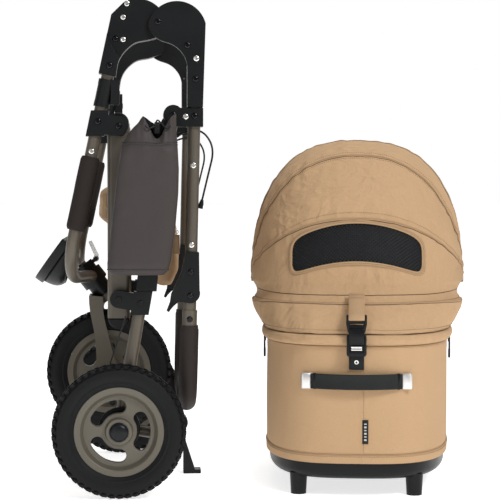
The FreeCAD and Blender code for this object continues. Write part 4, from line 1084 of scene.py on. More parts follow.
def joined(name, parts):
    """One object from several, with their finishes kept."""
    shape = bmesh.new()
    materials = []
    for part in parts:
        start = len(shape.faces)
        index = []
        for material in part.data.materials:
            if material not in materials:
                materials.append(material)
            index.append(materials.index(material))
        shape.from_mesh(part.data)
        shape.faces.ensure_lookup_table()
        for face in shape.faces[start:]:
            face.material_index = index[min(face.material_index, len(index) - 1)] if index else 0
    mesh = bpy.data.meshes.new(name)
    shape.to_mesh(mesh)
    shape.free()
    for material in materials:
        mesh.materials.append(material)
    for part in parts:
        bpy.data.objects.remove(part)
    return shown(name, mesh, 180)


def lean_point(ref, lean, z, y):
    return spot(ref[0] + math.tan(math.radians(lean)) * (z - ref[1]), y, z)


def handle_axis(z, side=-1):
    return lean_point((88.2, 627.6), 1.4, z, side * 185.0)


def front_axis(z, side=-1):
    return lean_point((-56.5, 738.6), 12.0, z, side * 185.0)


def push_bar_line(top_z, count):
    """The U-shaped centre line of the push bar, from near top over the bar to far top."""
    corner, end, bend = handle_axis(150.5), handle_axis(top_z), 0.062
    up = (end - corner).normalized()
    line = [end, corner + up * (bend + 0.002)]
    for i in range(13):
        turn = math.pi / 2 * i / 12
        line.append(corner + up * bend * (1 - math.sin(turn)) + Vector((0, bend * (1 - math.cos(turn)), 0)))
    middle_point = Vector((corner.x, MID_Y, corner.z))
    return even(line + [middle_point] + mirror_points(line[::-1]), count)


class STROLLER_OT_grips(bpy.types.Operator):
    """Covers the push bar in leatherette with a sewn seam, and makes the foam sleeves"""
    bl_idname = "stroller.grips"
    bl_label = "Grips"

    def execute(self, context):
        line = push_bar_line(290.8, 150)
        pattern = Pattern()
        radius = [0.0163 if 1 < i < 148 else 0.0152 for i in range(150)]
        for i, p in enumerate(line):
            radius[i] += 0.00025 * ruffle(p, 40, 3.0)
        pattern.tube(line, radius, sides=28, up=(0, 0, 1))
        cover = pattern.piece("grip_cover_leather", [finish("grip")], smooth=50)
        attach(cover, "handle")
        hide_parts("grip_cover")
        inner = []
        for i, p in enumerate(line):
            ahead = line[min(i + 1, 149)] - line[max(i - 1, 0)]
            inward = ahead.normalized().cross(Vector((1, 0, 0)))
            inward = -inward if inward.dot(Vector((p.x, MID_Y, 0.6)) - p) < 0 else inward
            inner.append(p + inward * 0.0163)
        seam = Pattern()
        seam.tube(inner[2:-2], 0.0007, sides=6, flat=1.0, up=(1, 0, 0))
        ridge = seam.piece("grip_cover_seam", [finish("grip")])
        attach(ridge, "handle")
        for offset, tag in ((-0.003, "a"), (0.003, "b")):
            run = stitched("grip_stitches_" + tag, [[p + Vector((offset, 0, 0)) for p in inner[2:-2]]],
                "handle",
                0.0045, "grip")
        self.sleeves()
        return {"FINISHED"}

    def sleeves(self):
        """Foam on both front tubes, slack at its ends."""
        parts = []
        for side in (-1, 1):
            pattern = Pattern()
            line = even([front_axis(456.0, side), front_axis(582.5, side)], 40)
            radius = []
            for i, p in enumerate(line):
                end = min(i, 39 - i)
                radius.append(0.0168 - (0.0026 if end == 0 else 0.0009 if end == 1 else 0)
                    + 0.0004 * ruffle(p, 55, side))
            pattern.tube(line, radius, sides=36, up=(1, 0, 0))
            parts.append(pattern.piece("sleeve", [finish("foam")], smooth=50))
        foam = joined("foam_sleeve_pair", parts)
        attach(foam, "front_frame")
        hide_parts("foam_sleeves")


# route of a brake cable, in drawing coordinates for the near side:
# out of the tube and back in below the clevis
CABLE_ROUTE = ((101.5, -185.0, 505.0), (113.0, -185.0, 553.0), (124.0, -182.0, 597.0), (106.0, -175.0, 628.0),
    (80.0, -169.0, 630.2), (56.0, -168.0, 619.0))


def cord_curve(name, points, radius, material):
    """A round cord along a smooth line through its route."""
    data = bpy.data.curves.new(name, "CURVE")
    data.dimensions = "3D"
    spline = data.splines.new("NURBS")
    spline.points.add(len(points) - 1)
    for point, place in zip(spline.points, points):
        point.co = (*place, 1.0)
    spline.order_u = 3
    spline.use_endpoint_u = True
    spline.resolution_u = 12
    data.bevel_depth = radius
    data.bevel_resolution = 4
    data.use_fill_caps = True
    data.materials.append(finish(material))
    made = bpy.data.objects.new(name, data)
    bpy.context.scene.collection.objects.link(made)
    return made


def line_length(made):
    """Length of a curve's own line."""
    plain = made.copy()
    plain.data = made.data.copy()
    plain.data.bevel_depth = 0
    mesh = bpy.data.meshes.new_from_object(plain)
    total = sum((mesh.vertices[e.vertices[0]].co - mesh.vertices[e.vertices[1]].co).length
        for e in mesh.edges)
    bpy.data.objects.remove(plain)
    return total


class STROLLER_OT_cables(bpy.types.Operator):
    """Runs the two brake cables out of the handle tubes and back in, with their grommets"""
    bl_idname = "stroller.cables"
    bl_label = "Brake cables"

    def execute(self, context):
        for side, name in ((-1, "left"), (1, "right")):
            points = [spot(*p) for p in CABLE_ROUTE]
            if side > 0:
                points = mirror_points(points)
            cable = cord_curve("brake_cable_" + name, points, 0.0017, "cable")
            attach(cable, "handle")
            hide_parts("brake_cables")
            pattern = Pattern()
            along = (points[1] - points[0]).normalized()
            pattern.tube([points[0] - along * 0.012, points[0] - along * 0.003, points[0] + along * 0.004],
                [0.0046, 0.0042, 0.0024], sides=16)
            back = (points[-2] - points[-1]).normalized()
            pattern.tube([points[-1] - back * 0.003, points[-1] + back * 0.004, points[-1] + back * 0.012],
                [0.0042, 0.0040, 0.0023], sides=16)
            grommet = pattern.piece("cable_grommet_" + name, [finish("plastic")])
            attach(grommet, "handle")
            line_length(cable)
        coat("cable", "drum_cables")
        return {"FINISHED"}


class STROLLER_OT_straps(bpy.types.Operator):
    """Folds the spare webbing beside the lock sleeves and makes the bag's straps"""
    bl_idname = "stroller.straps"
    bl_label = "Straps"

    def execute(self, context):
        parts = []
        for side in (-1, 1):
            centre = front_axis(690.0, side)
            bundle = Pattern()
            for turn, (reach, phase) in enumerate(((8.0, 0.2), (6.2, 1.3), (4.4, 2.4))):
                loop = []
                for i in range(44):
                    t = 2 * math.pi * i / 44
                    loop.append(centre + Vector((20.5
                                + 4.2 * math.cos(t) * (1 + 0.25 * math.sin(3 * t + phase)) * reach / 8,
                                -4.0 * side * -1 + 0.9 * turn * side,
                                2.0 + (14.5 - turn * 2.2) * math.sin(t)
                                + 1.2 * math.cos(2 * t + phase))) * MM)
                self.ribbon(bundle, loop, 0.0075 - 0.001 * turn)
            band = [centre + Vector((14.5 + 6.5 * (1 + math.cos(2 * math.pi * i / 24)),
                        side * 4.0 + 7.5 * math.sin(2 * math.pi * i / 24), 1.0)) * MM for i in range(24)]
            rows = [[p + Vector((0, 0, dz)) for p in band] for dz in (-0.005, 0.005)]
            bundle.sheet(rows, ring=True)
            parts.append(bundle.piece("bundle", [finish("webbing")], smooth=50))
        whole = joined("spare_webbing", parts)
        wall = whole.modifiers.new("Wall", "SOLIDIFY")
        wall.thickness = 0.0009
        wall.offset = 0
        finished(whole)
        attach(whole, "front_frame")
        coat("webbing", "bag_straps")
        return {"FINISHED"}

    def ribbon(self, pattern, loop, width):
        rows = [[p + Vector((0, dy, 0)) for p in loop] for dy in (-width / 2, width / 2)]
        pattern.sheet(rows, ring=True)


# ---- soft goods of the frame ----------------------------------------------------------------
def between(table, z):
    """Linear reading of a (z, value) table."""
    return float(np.interp(z, [row[0] for row in table], [row[1] for row in table]))


BAG_LEFT = ((380, -52), (388, -60), (400, -61), (480, -52), (560, -43), (600, -36), (625, -22), (640, -8),
    (656, 0))
BAG_RIGHT = ((380, 34), (388, 42), (400, 46), (450, 54), (520, 60), (560, 61), (600, 59), (625, 57),
    (640, 57), (656, 57))
BAG_DEPTH = ((380, 15), (388, 20), (400, 22), (470, 23), (560, 22.5), (600, 20), (625, 17), (656, 13))


class STROLLER_OT_bag(bpy.types.Operator):
    """Makes the drawstring storage bag with its collar, neck opening and cord"""
    bl_idname = "stroller.bag"
    bl_label = "Storage bag"

    def ring(self, z, inset=0.0, count=120):
        left, right, deep = between(BAG_LEFT, z) + inset, between(BAG_RIGHT, z) - inset, between(BAG_DEPTH,
            z) - inset
        mid, half = (left + right) / 2, (right - left) / 2
        power = 3.4 if z < 600 else 2.6
        ring = []
        for i in range(count):
            t = 2 * math.pi * i / count
            c, s = math.cos(t), math.sin(t)
            x = mid + half * math.copysign(abs(c) ** (2 / power), c)
            y = -233.0 - deep * math.copysign(abs(s) ** (2 / power), s)
            ring.append(Vector((x, y, z)))
        return ring

    def shaped(self, p, z, t):
        """Sag, seam pinches and the dipped, gathered neck of one point, in millimetres."""
        s = math.sin(t)
        out = Vector((0, -math.copysign(1, s) if abs(s) > 0.3 else 0.0, 0))
        swell = 1.6 * ruffle(p, 0.018, 2.0) + 0.7 * ruffle(p, 0.06, 5.0)
        pinch = -1.6 * math.exp(-((z - 602) / 3.0) ** 2) - 1.2 * math.exp(-((z - 390) / 2.5) ** 2)
        droop = 1.8 * math.exp(-((z - 585) / 14.0) ** 2) * (0.5 + 0.5 * math.sin(p.x * 0.16 + 1.0))
        moved = p + out * (swell + pinch + droop)
        if z > 600:
            rise = (z - 600) / 56.0
            near = 0.5 + 0.5 * s
            dip = (44.0 * near + 18.0 * (1 - near)) * math.exp(-((p.x - 24.0) / 18.0) ** 2)
            moved.z -= dip * rise
            moved += out * (1.4 * math.sin(p.x * 0.55 + 0.6) * rise)
            moved.y += 3.0 * rise * near
        return moved

    def execute(self, context):
        pattern = Pattern()
        heights = [381, 382, 384, 387, 390] + list(range(395, 600, 5)) + [600, 602,
            604] + list(range(608, 657, 4)) + [656.5]
        rows = []
        for z in heights:
            ring = self.ring(min(z, 656))
            rows.append([spot(*self.shaped(p, z, 2 * math.pi * i / 120)) for i, p in enumerate(ring)])
        rows = [[c + (p - c) * share for p in rows[0]] for share in (0.3, 0.7, 0.9)
            for c in [sum(rows[0], Vector()) / 120]] + rows
        pattern.sheet(rows, 0, ring=True)
        pattern.cap(rows[0], 0, flip=True)
        # the neck's inside and the cap that closes it take the near-black finish: painted shade inside the
        # opening
        inner = []
        for z, inset in ((656.5, 0.4), (652, 1.6), (640, 2.4), (628, 4.0), (616, 8.0), (608, 12.0)):
            ring = self.ring(min(z, 656), inset)
            inner.append([spot(*self.shaped(p, z, 2 * math.pi * i / 120)) for i, p in enumerate(ring)])
        pattern.sheet(inner, 1, ring=True)
        pattern.cap(inner[-1], 1)
        bag = pattern.piece("drawstring_bag", [finish("bag"), finish("lining")], smooth=180, merge=1e-6)
        soft_wall = bag.modifiers.new("Smooth", "SUBSURF")
        soft_wall.levels = soft_wall.render_levels = 1
        finished(bag)
        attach(bag, "rear_frame")
        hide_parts("storage_bag")
        self.seams()
        self.drawstring()
        return {"FINISHED"}

    def seams(self):
        trim = Pattern()
        lines = []
        for z, radius in ((602.5, 0.7), (390.5, 1.1)):
            ring = [spot(*self.shaped(p, z, 2 * math.pi * i / 120)) for i, p in enumerate(self.ring(z, -0.4))]
            trim.tube(ring, radius * MM, sides=6, closed=True)
            lines.append([p + Vector((0, 0, 0.0035)) for p in ring] + [ring[0] + Vector((0, 0, 0.0035))])
        piece = trim.piece("bag_seam_piping", [finish("bag")])
        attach(piece, "rear_frame")
        run = stitched("bag_stitches", lines, "rear_frame", 0.0045, "lining")

    def drawstring(self):
        """The cord leaves the hem, loops through the lock and goes back into the hem."""
        points = [spot(*p) for p in ((4, -249, 634), (9, -252, 628), (14, -247, 630), (20, -237, 633),
                (24, -233.5, 645.5),
                (30, -236, 640), (36, -244, 632), (42, -251, 628), (47, -249, 633))]
        cord = cord_curve("bag_drawstring", points, 0.0014, "cable")
        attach(cord, "rear_frame")
        line_length(cord)


def crumpled(name, outline_mesh, growth, cap, voxel, frames, material):
    """Cloth simulation of a slack cover: the cloth grows a little, so that it buckles into folds."""
    made = shown(name, outline_mesh, 180)
    remesh = made.modifiers.new("Remesh", "REMESH")
    remesh.mode = "VOXEL"
    remesh.voxel_size = voxel
    finished(made)
    made.data.materials.clear()
    made.data.materials.append(finish(material))
    start = [v.co.copy() for v in made.data.vertices]
    cloth = made.modifiers.new("Cloth", "CLOTH")
    settings = cloth.settings
    settings.quality = 5
    settings.mass = 0.2
    settings.effector_weights.gravity = 0.0
    settings.use_pressure = True
    settings.uniform_pressure_force = 1.5
    settings.shrink_min = -growth
    settings.tension_stiffness = settings.compression_stiffness = 12
    settings.bending_stiffness = 0.08
    cloth.collision_settings.use_collision = False
    cloth.point_cache.frame_start = 1
    cloth.point_cache.frame_end = frames
    scene = bpy.context.scene
    for step in range(1, frames + 1):
        scene.frame_set(step)
    finished(made)
    scene.frame_set(1)
    for vert, home in zip(made.data.vertices, start):
        move = vert.co - home
        if move.length > cap:
            vert.co = home + move * (cap / move.length)
    return made


class STROLLER_OT_basket(bpy.types.Operator):
    """Stuffs the folded basket between the legs, with its ring and leather tag"""
    bl_idname = "stroller.basket"
    bl_label = "Folded basket"

    def execute(self, context):
        section = ((-4, 392), (4, 378), (14, 368), (28, 357), (48, 357), (59, 386), (60, 420), (58, 448),
            (50, 490),
            (38, 540), (26, 553), (0, 553), (-22, 553), (-48, 538), (-76, 518), (-77, 496), (-76, 474),
            (-50, 462), (-22, 448), (-8, 430))
        loop = even([Vector((x, 0, z)) for x, z in section], 72, closed=True)
        centre = Vector((14, 0, 455))
        rows = []
        for k in range(61):
            y = -136.0 + 272.0 * k / 60
            end = min(1.0, min(k, 60 - k) / 4.0)
            shrink = 0.9 + 0.1 * math.sqrt(end)
            row = []
            for p in loop:
                fold = 4.5 * ruffle(Vector((p.x, y, p.z)), 0.028, 1.0) + 2.2 * ruffle(Vector((p.x, y, p.z)),
                    0.07, 4.0)
                away = (p - centre).normalized()
                q = centre + (p - centre) * shrink + away * (fold - 3.5)
                row.append(spot(q.x, y, q.z))
            rows.append(row)
        pattern = Pattern()
        pattern.sheet(rows, 0, ring=True)
        pattern.cap(rows[0], 0, flip=True)
        pattern.cap(rows[-1], 0)
        bare = pattern.piece("basket_pattern", [finish("crumpled")], merge=1e-6)
        bare = outward(bare)
        mesh = bare.data
        bpy.data.objects.remove(bare)
        basket = crumpled("folded_basket", mesh, 0.12, 0.007, 0.005, 16, "crumpled")
        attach(basket, "rear_frame")
        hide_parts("basket")
        self.tag()
        return {"FINISHED"}

    def tag(self):
        pattern = Pattern()
        ring = [spot(58 + 3.6 * math.cos(2 * math.pi * i / 28), -146,
                452 + 3.6 * math.sin(2 * math.pi * i / 28))
            for i in range(28)]
        pattern.tube(ring, 0.0007, 0, sides=8, closed=True)
        loop = [spot(52, -143, 455), spot(55, -145, 456), spot(57.5, -146.4, 455)]
        pattern.tube(loop, 0.0012, 1, sides=6)
        leather = rounded_block((0.0115, 0.0022, 0.034), 0.0009, 2)
        pattern.solid(leather, 1, Matrix.Translation(spot(58.5, -146.5, 430)))
        tag = pattern.piece("basket_tag", [finish("steel"), finish("tag")], smooth=50)
        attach(tag, "rear_frame")
        edge = [spot(58.5 + x, -147.8, 430 + z) for x,
            z in ((-4.2, 15), (-4.2, -15), (4.2, -15), (4.2, 15), (-4.2, 15))]
        run = stitched("tag_stitches", [even(edge, 40)], "rear_frame", 0.003)


# ---- carrier --------------------------------------------------------------------------------
BODY = (165.0, 320.0, 3.2)
BODY_BOTTOM, BODY_TOP, RIM_TOP = 61.0, 262.0, 281.0
PIVOT_Z, HOOD_HALF, HOOD_RISE, HOOD_POWER, REAR_DROP = 362.0, 198.0, 257.0, 2.45, 10.4
SKIRT_FOOT = (283.0, 168.0, 322.0, 3.2)
SEAM_U = 10.0


def loop_at(half_u, half_v, power, count, start=0.0):
    """Evenly spaced (u, v) places round a rounded outline, with the outward direction of each."""
    dense = []
    for i in range(1440):
        t = 2 * math.pi * i / 1440 + start
        c, s = math.cos(t), math.sin(t)
        dense.append(Vector((half_u * math.copysign(abs(c) ** (2 / power), c),
                    half_v * math.copysign(abs(s) ** (2 / power), s), 0)))
    places = even(dense, count, closed=True)
    out = []
    for i, p in enumerate(places):
        along = places[(i + 1) % count] - places[i - 1]
        out.append((p, Vector((along.y, -along.x, 0)).normalized()))
    return out


def flat_cloth(rows):
    """Width, length and area of the cut cloth behind rows of points in metres."""
    def run(line):
        return sum((b - a).length for a, b in zip(line, line[1:]))
    width = max(run(row) for row in rows)
    length = run([row[len(row) // 2] for row in rows])
    area = 0.0
    for upper, lower in zip(rows, rows[1:]):
        for a, b, c, d in zip(upper, upper[1:], lower[1:], lower):
            area += (c - a).cross(d - b).length / 2
    return width, length, min(area, width * length)


class STROLLER_OT_carrier_body(bpy.types.Operator):
    """Sews the carrier's cloth wall, bottom band, end seams, rim roll and near side label"""
    bl_idname = "stroller.carrier_body"
    bl_label = "Carrier body"

    def wall_point(self, p, out, z):
        share = (z - BODY_BOTTOM) / (BODY_TOP - BODY_BOTTOM)
        push = 0.9 * math.sin(math.pi * share) + 0.7 * ruffle((p.x, p.y, z * 0.6), 0.014, 7.0)
        near_top = math.exp(-((z - 258.0) / 16.0) ** 2)
        push += near_top * 0.8 * math.sin((p.x + p.y * 0.8) * 0.13 + 2.0 * ruffle((p.x, p.y, 0), 0.02, 3.0))
        if abs(p.y) > 300:
            offset = p.x - math.copysign(SEAM_U, -p.y)
            push += 0.7 * math.exp(-(offset / 3.0) ** 2) - 1.1 * math.exp(-((offset + 4.5) / 1.6) ** 2)
        push += 1.3 * (1.0 if z < 75.0 else 0.0) - 1.0 * math.exp(-((z - 76.5) / 1.4) ** 2)
        return Vector((p.x, p.y, 0)) + out * push + Vector((0, 0, z))

    def execute(self, context):
        self.wall()
        self.rim()
        self.mat()
        base = rounded_copy("carrier_base", 0.0012, "plastic", "carrier_tub", 2, 50)
        wider = CARRIER @ Matrix.Diagonal((1.025, 1.008, 1.0, 1.0)) @ CARRIER.inverted()
        base.data.transform(wider)
        return {"FINISHED"}

    def wall(self):
        loop = loop_at(*BODY, 460)
        heights = [61, 61.4, 64, 68, 72, 74.6, 75.2, 76, 77, 78.4,
            82] + [82 + (262 - 82) * i / 36 for i in range(1, 37)]
        rows = [[self.wall_point(p, out, z) * MM for p, out in loop] for z in heights]
        pattern = Pattern()
        pattern.sheet(rows, 0, ring=True, cloth=True)
        inside = [[(Vector((p.x, p.y, z)) - out * 5.5) * MM for p, out in loop] for z in (262, 200, 130, 68)]
        pattern.sheet([rows[-1], inside[0]], 0, ring=True)
        pattern.sheet(inside, 0, ring=True, cloth=True)
        pattern.cap([(Vector((p.x, p.y, 67.0)) - out * 5.5) * MM for p, out in loop], 0)
        under = [(Vector((p.x, p.y, 61.0)) - out * 0.2) * MM for p, out in loop]
        pattern.cap(under, 0, flip=True)
        wall = pattern.piece("carrier_wall", [finish("wall")], CARRIER, smooth=60)
        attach(wall, "carrier")
        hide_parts("carrier_body")
        trim = Pattern()
        trim.tube([self.wall_point(p, out * 1.0, 76.0) * MM + out * 0.0009 for p, out in loop], 0.0011,
            sides=6, closed=True)
        edge = trim.piece("carrier_bottom_piping", [finish("piping")], CARRIER)
        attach(edge, "carrier")
        lines = [[CARRIER @ (self.wall_point(p, out, 72.8) * MM + out * 0.0003) for p,
                out in loop + loop[:1]]]
        for end in (-1, 1):
            for offset in (3.0,):
                line = []
                for i in range(70):
                    z = 80 + (258 - 80) * i / 69
                    u = -end * SEAM_U + offset * (1 if end < 0 else -1) * 0.8
                    v = end * BODY[1] * (1 - abs(u / BODY[0]) ** BODY[2]) ** (1 / BODY[2])
                    q = self.wall_point(Vector((u, v, 0)), Vector((0, end, 0)), z)
                    line.append(CARRIER @ ((q + Vector((0, end * 0.3, 0))) * MM))
                lines.append(line)
        run = stitched("carrier_wall_stitches", lines, "carrier", 0.0042)
        self.label()

    def label(self):
        """A plain black woven label sewn into the near end seam, with short weave marks."""
        v = -BODY[1] - 1.9
        pattern = Pattern()
        pattern.solid(rounded_block((0.0100, 0.0009, 0.041), 0.00035, 2), 0,
            Matrix.Translation(Vector((15.2, v, 115.5)) * MM))
        for k in range(6):
            height = 0.0030 if k % 2 else 0.0020
            pattern.solid(rounded_block((0.0042, 0.0003, height), 0.0001, 1), 1,
                Matrix.Translation(Vector((15.2, v - 0.5, 129.0 - k * 5.4)) * MM))
        label = pattern.piece("side_label", [finish("webbing"), finish("mark")], CARRIER, smooth=50)
        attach(label, "carrier")

    def rim(self):
        """The padded roll that the hood's hem rests on."""
        loop = loop_at(*BODY, 420)
        section = [(-6.5, 262.6), (1.5, 262.2), (6.0, 262.9), (8.6, 265.2), (9.8, 268.6), (10.0, 272.2),
            (9.2, 275.8),
            (7.2, 278.8), (4.6, 280.2), (3.4, 279.9), (1.5, 281.0), (-3.0, 281.2), (-6.5, 279.5)]
        rows = []
        for p, out in loop:
            soft = 0.5 * ruffle(p, 0.03, 1.0) + 0.35 * ruffle(p, 0.09, 2.0)
            rows.append([(Vector((p.x, p.y, z + 0.4 * soft * (z > 264)))
                        + out * (o + (soft if o > 2 else 0))) * MM
                    for o, z in section])
        pattern = Pattern()
        pattern.sheet(rows, 0, ring=True, tube=True, cloth=True)
        rim = outward(pattern.piece("rim_roll", [finish("canvas")], CARRIER, smooth=70))
        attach(rim, "carrier")
        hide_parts("rim_band")
        line = [CARRIER @ ((Vector((p.x, p.y, 280.5)) + out * 3.9) * MM) for p, out in loop + loop[:1]]
        run = stitched("rim_stitches", [line], "carrier", 0.0042)
        trim = Pattern()
        trim.tube([(Vector((p.x, p.y, 260.4)) + out * 1.6) * MM for p, out in loop], 0.0012, sides=6,
            closed=True)
        zipper = trim.piece("rim_zip", [finish("piping")], CARRIER)
        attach(zipper, "carrier")

    def mat(self):
        loop = loop_at(BODY[0] - 10.5, BODY[1] - 10.5, BODY[2], 200)
        rows = []
        for z, inset in ((68.6, 3.0), (70, 1.0), (76, 0.2), (84, 0.2), (89, 2.0), (90, 6.0)):
            rows.append([CARRIER @ ((Vector((p.x, p.y, z)) - out * inset) * MM) for p, out in loop])
        pattern = Pattern()
        pattern.sheet(rows, 0, ring=True)
        pattern.cap(rows[0], 0, flip=True)
        pattern.cap(rows[-1], 0)
        bare = outward(pattern.piece("mat_pattern", [finish("canvas")]))
        mesh = bare.data
        bpy.data.objects.remove(bare)
        pad = crumpled("floor_mat", mesh, 0.015, 0.0035, 0.006, 12, "crumpled")
        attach(pad, "carrier")
        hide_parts("mat")


# each hoop line of the hood: its angle above the pivot at the middle, and how far it falls at the flanks
HOOPS = ((0.0, 0.0), (26.5, 10.0), (62.0, 17.0), (91.0, 9.0))
HOOD_CLOTH = 0.0011     # thickness of the hood's cloth
HOOD_COLUMNS = 230      # places along one row of the hood's cloth
SKIRT_PUSH = ((283, 3.0), (287, 6.5), (292, 8.5), (304, 11.5), (316, 13.0), (325, 12.5), (328, 11.0),
    (330, 6.0), (334, 1.5),
    (338, -2.0), (345, -4.0), (352, -2.5), (362, 0.0))


class STROLLER_OT_hood(bpy.types.Operator):
    """Sews the domed hood in two halves over its hoops, with the mesh window, piping and stitching"""
    bl_idname = "stroller.hood"
    bl_label = "Hood"

    def columns(self, drop, count):
        """Evenly spaced (u, reach) places along the hoop outline, flank to flank."""
        dense = []
        for i in range(901):
            t = 0.045 + (math.pi - 0.09) * i / 900
            c, s = math.cos(t), math.sin(t)
            dense.append(Vector(((HOOD_HALF - drop) * math.copysign(abs(c) ** (2 / HOOD_POWER), c),
                        (HOOD_RISE - drop) * s ** (2 / HOOD_POWER), 0)))
        return even(dense, count)

    def seam_angle(self, k, u, top):
        """The angle of a level of cloth; levels 0 to 2.88 run from hoop to hoop, 3 is the cut edge."""
        fall = (abs(u) / HOOD_HALF) ** 2.2
        lines = [angle - drop * fall for angle, drop in HOOPS] + [top - 9.0 * fall]
        return float(np.interp(k, (0, 1, 2, 2.88, 3), lines))

    def bare_point(self, place, k, end, top):
        a = math.radians(self.seam_angle(k, place.x, top))
        return Vector((place.x, end * place.y * math.cos(a), PIVOT_Z + place.y * math.sin(a)))

    def rows(self, drop, end, top, count):
        """Levels down the hood: hoop shares for the dome, then heights for the skirt."""
        hood = bpy.context.scene.stroller.hood
        cols = self.columns(drop, count)
        shares = sorted({round(s, 4) for base in (0, 1, 2)
                for s in np.linspace(base, base + 1, 27 if base else 22)}
            | {0.86, 0.93, 0.965, 1.035, 1.07, 1.93, 1.965, 2.035, 2.07, 2.88, 2.85, 2.91, 2.97},
            reverse=True)
        rows, marks = [], []
        for k in shares:
            rows.append([self.bare_point(p, k, end, top) for p in cols])
            marks.append(("dome", k))
        foot_z, foot_u, foot_v, foot_power = SKIRT_FOOT
        dense = []
        for i in range(901):
            t = math.pi * i / 900
            c, s = math.cos(t), math.sin(t)
            dense.append(Vector(((foot_u - drop) * math.copysign(abs(c) ** (2 / foot_power), c),
                        end * (foot_v - drop) * s ** (2 / foot_power), foot_z)))
        foot = even(dense, count)
        fold = rows[-1]
        for z in (359, 355, 351, 347.5, 345, 342, 338, 334, 331.5, 330, 329, 328, 327, 325, 321, 316, 310,
                304, 298, 292, 287, 281.6):
            share = (PIVOT_Z - z) / (PIVOT_Z - foot_z)
            rows.append([a + (b - a) * share for a, b in zip(fold, foot)])
            marks.append(("skirt", z))
        return self.dressed(rows, marks, cols, hood, end), marks, cols

    def dressed(self, rows, marks, cols, hood, end):
        """Sag, gathers and folds laid over the bare shape."""
        done = []
        for i, row in enumerate(rows):
            above, below = rows[max(i - 1, 0)], rows[min(i + 1, len(rows) - 1)]
            kind, level = marks[i]
            new = []
            for j, p in enumerate(row):
                left, right = row[max(j - 1, 0)], row[min(j + 1, len(row) - 1)]
                normal = (right - left).cross(below[j] - above[j])
                if normal.length < 1e-9:
                    normal = Vector((p.x, p.y, 0))
                normal.normalize()
                if normal.dot(Vector((p.x, p.y, p.z - 300))) < 0:
                    normal = -normal
                flank = (abs(cols[j].x) / HOOD_HALF) ** 4
                open_share = min(1.0, cols[j].y / 120.0)
                push = 1.1 * ruffle(p, 0.012, 3.0 + end) + 0.6 * ruffle(p, 0.035, 9.0)
                if kind == "dome":
                    angle = math.degrees(math.atan2(p.z - PIVOT_Z, end * p.y))
                    panel = float(np.interp(angle, (0, 26.5, 62.0, 91.0), (0, 1, 2, 3)))
                    size = (0.8, 1.5, 1.2, 0.0)[min(int(panel), 3)]
                    push -= hood.sag / MM * size * math.sin(math.pi * (panel % 1.0)) ** 2 * open_share
                    away = min(abs(level - round(level)) * 60.0, 60.0)
                    gather = math.sin(j * 0.62 + 5.0 * ruffle(p, 0.02, 5.0)) * (0.6 + ruffle(p, 0.03, 7.0))
                    push += hood.pucker / MM * gather * math.exp(-away / 14.0) * min(1.0,
                        away / 2.0) * (level > 0.5)
                    wave = max(0.0, ruffle((p.x * 0.5, p.y, p.z * 1.4), 0.022, 13.0))
                    push += 2.4 * wave * math.sin(math.pi * (panel % 1.0)) * (level > 1)
                    push += 2.2 * flank * ruffle((p.x * 0.4, p.y, p.z), 0.05, 2.0)
                    if level < 0.2:
                        push += 0.8 * math.exp(-(level / 0.05) ** 2)
                else:
                    push += between(SKIRT_PUSH, level) * (0.3 + 0.7 * (cols[j].x / HOOD_HALF) ** 2)
                    push += 0.8 * math.sin(j * 0.33 + 5.0 * ruffle(p, 0.02, 6.0)) * (1.0
                        if level < 326 else 0.3)
                    push += 1.6 * ruffle((p.x, p.y, p.z * 1.6), 0.03,
                        11.0) * (1.0 if 288 < level < 324 else 0.3)
                new.append(p + normal * push)
            done.append(new)
        return done

    def window(self, u, z):
        """How far inside the window a place is: below 1 is inside."""
        top, low = 468.0 - 30.0 * (u / 114.0) ** 2, 401.0 - 25.0 * (u / 114.0) ** 2
        return (abs(u) / 114.0) ** 12 + abs(2 * (z - low) / (top - low) - 1) ** 4

    def window_edge(self, grow=0.0):
        edge = []
        for i in range(400):
            t = 2 * math.pi * i / 400
            c, s = math.cos(t), math.sin(t)
            scale = (abs(c) ** 12 + abs(s) ** 4) ** (-1 / 12.0)
            for _ in range(12):
                scale *= (1 / ((abs(c) * scale) ** 12 + (abs(s) * scale) ** 4)) ** 0.12
            a, b = c * scale, s * scale
            u = a * (114.0 + grow)
            top, low = 468.0 + grow - 30.0 * (u / 114.0) ** 2, 401.0 - grow - 25.0 * (u / 114.0) ** 2
            z = low + (top - low) * (b + 1) / 2
            edge.append(self.on_dome(u, z, 0.0))
        return even(edge, 220, closed=True)

    def on_dome(self, u, z, out):
        """The place on the near dome at a distance across and a height, in millimetres."""
        reach = HOOD_RISE * max(1e-4, 1 - (abs(u) / HOOD_HALF) ** HOOD_POWER) ** (1 / HOOD_POWER)
        v = -math.sqrt(max(reach ** 2 - (z - PIVOT_Z) ** 2, 0.0))
        return Vector((u, v, z)) + self.dome_normal(u, v, z) * out

    def dome_normal(self, u, v, z):
        slope = (abs(u) / HOOD_HALF) ** (HOOD_POWER - 1) * HOOD_RISE / HOOD_HALF
        return Vector((math.copysign(slope, u), v / HOOD_RISE, (z - PIVOT_Z) / HOOD_RISE)).normalized()

    def execute(self, context):
        for end, drop, top, body, node in ((-1, 0.0, 94.0, "front_hood", "front_hood"),
                (1, REAR_DROP, 85.5, "carrier", "rear_hood")):
            name = "front" if end < 0 else "rear"
            rows, marks, _ = self.rows(drop, end, top, HOOD_COLUMNS)
            pattern = Pattern()
            pattern.sheet([[p * MM for p in row] for row in rows], 0, flip=end > 0, cloth=True)
            if end < 0:
                self.cut_window(pattern)
            cloth = pattern.piece(name + "_hood_cloth", [finish("canvas")], CARRIER, smooth=180)
            wall = cloth.modifiers.new("Wall", "SOLIDIFY")
            wall.thickness = HOOD_CLOTH
            wall.offset = -1
            finished(cloth)
            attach(cloth, body)
            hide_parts(node)
            width, length, area = flat_cloth([[p * MM for p in row] for row in rows])
            self.trim(name, rows, marks, body, end)
        self.net()
        coat("rod", "front_hoops", "rear_hoops")
        return {"FINISHED"}

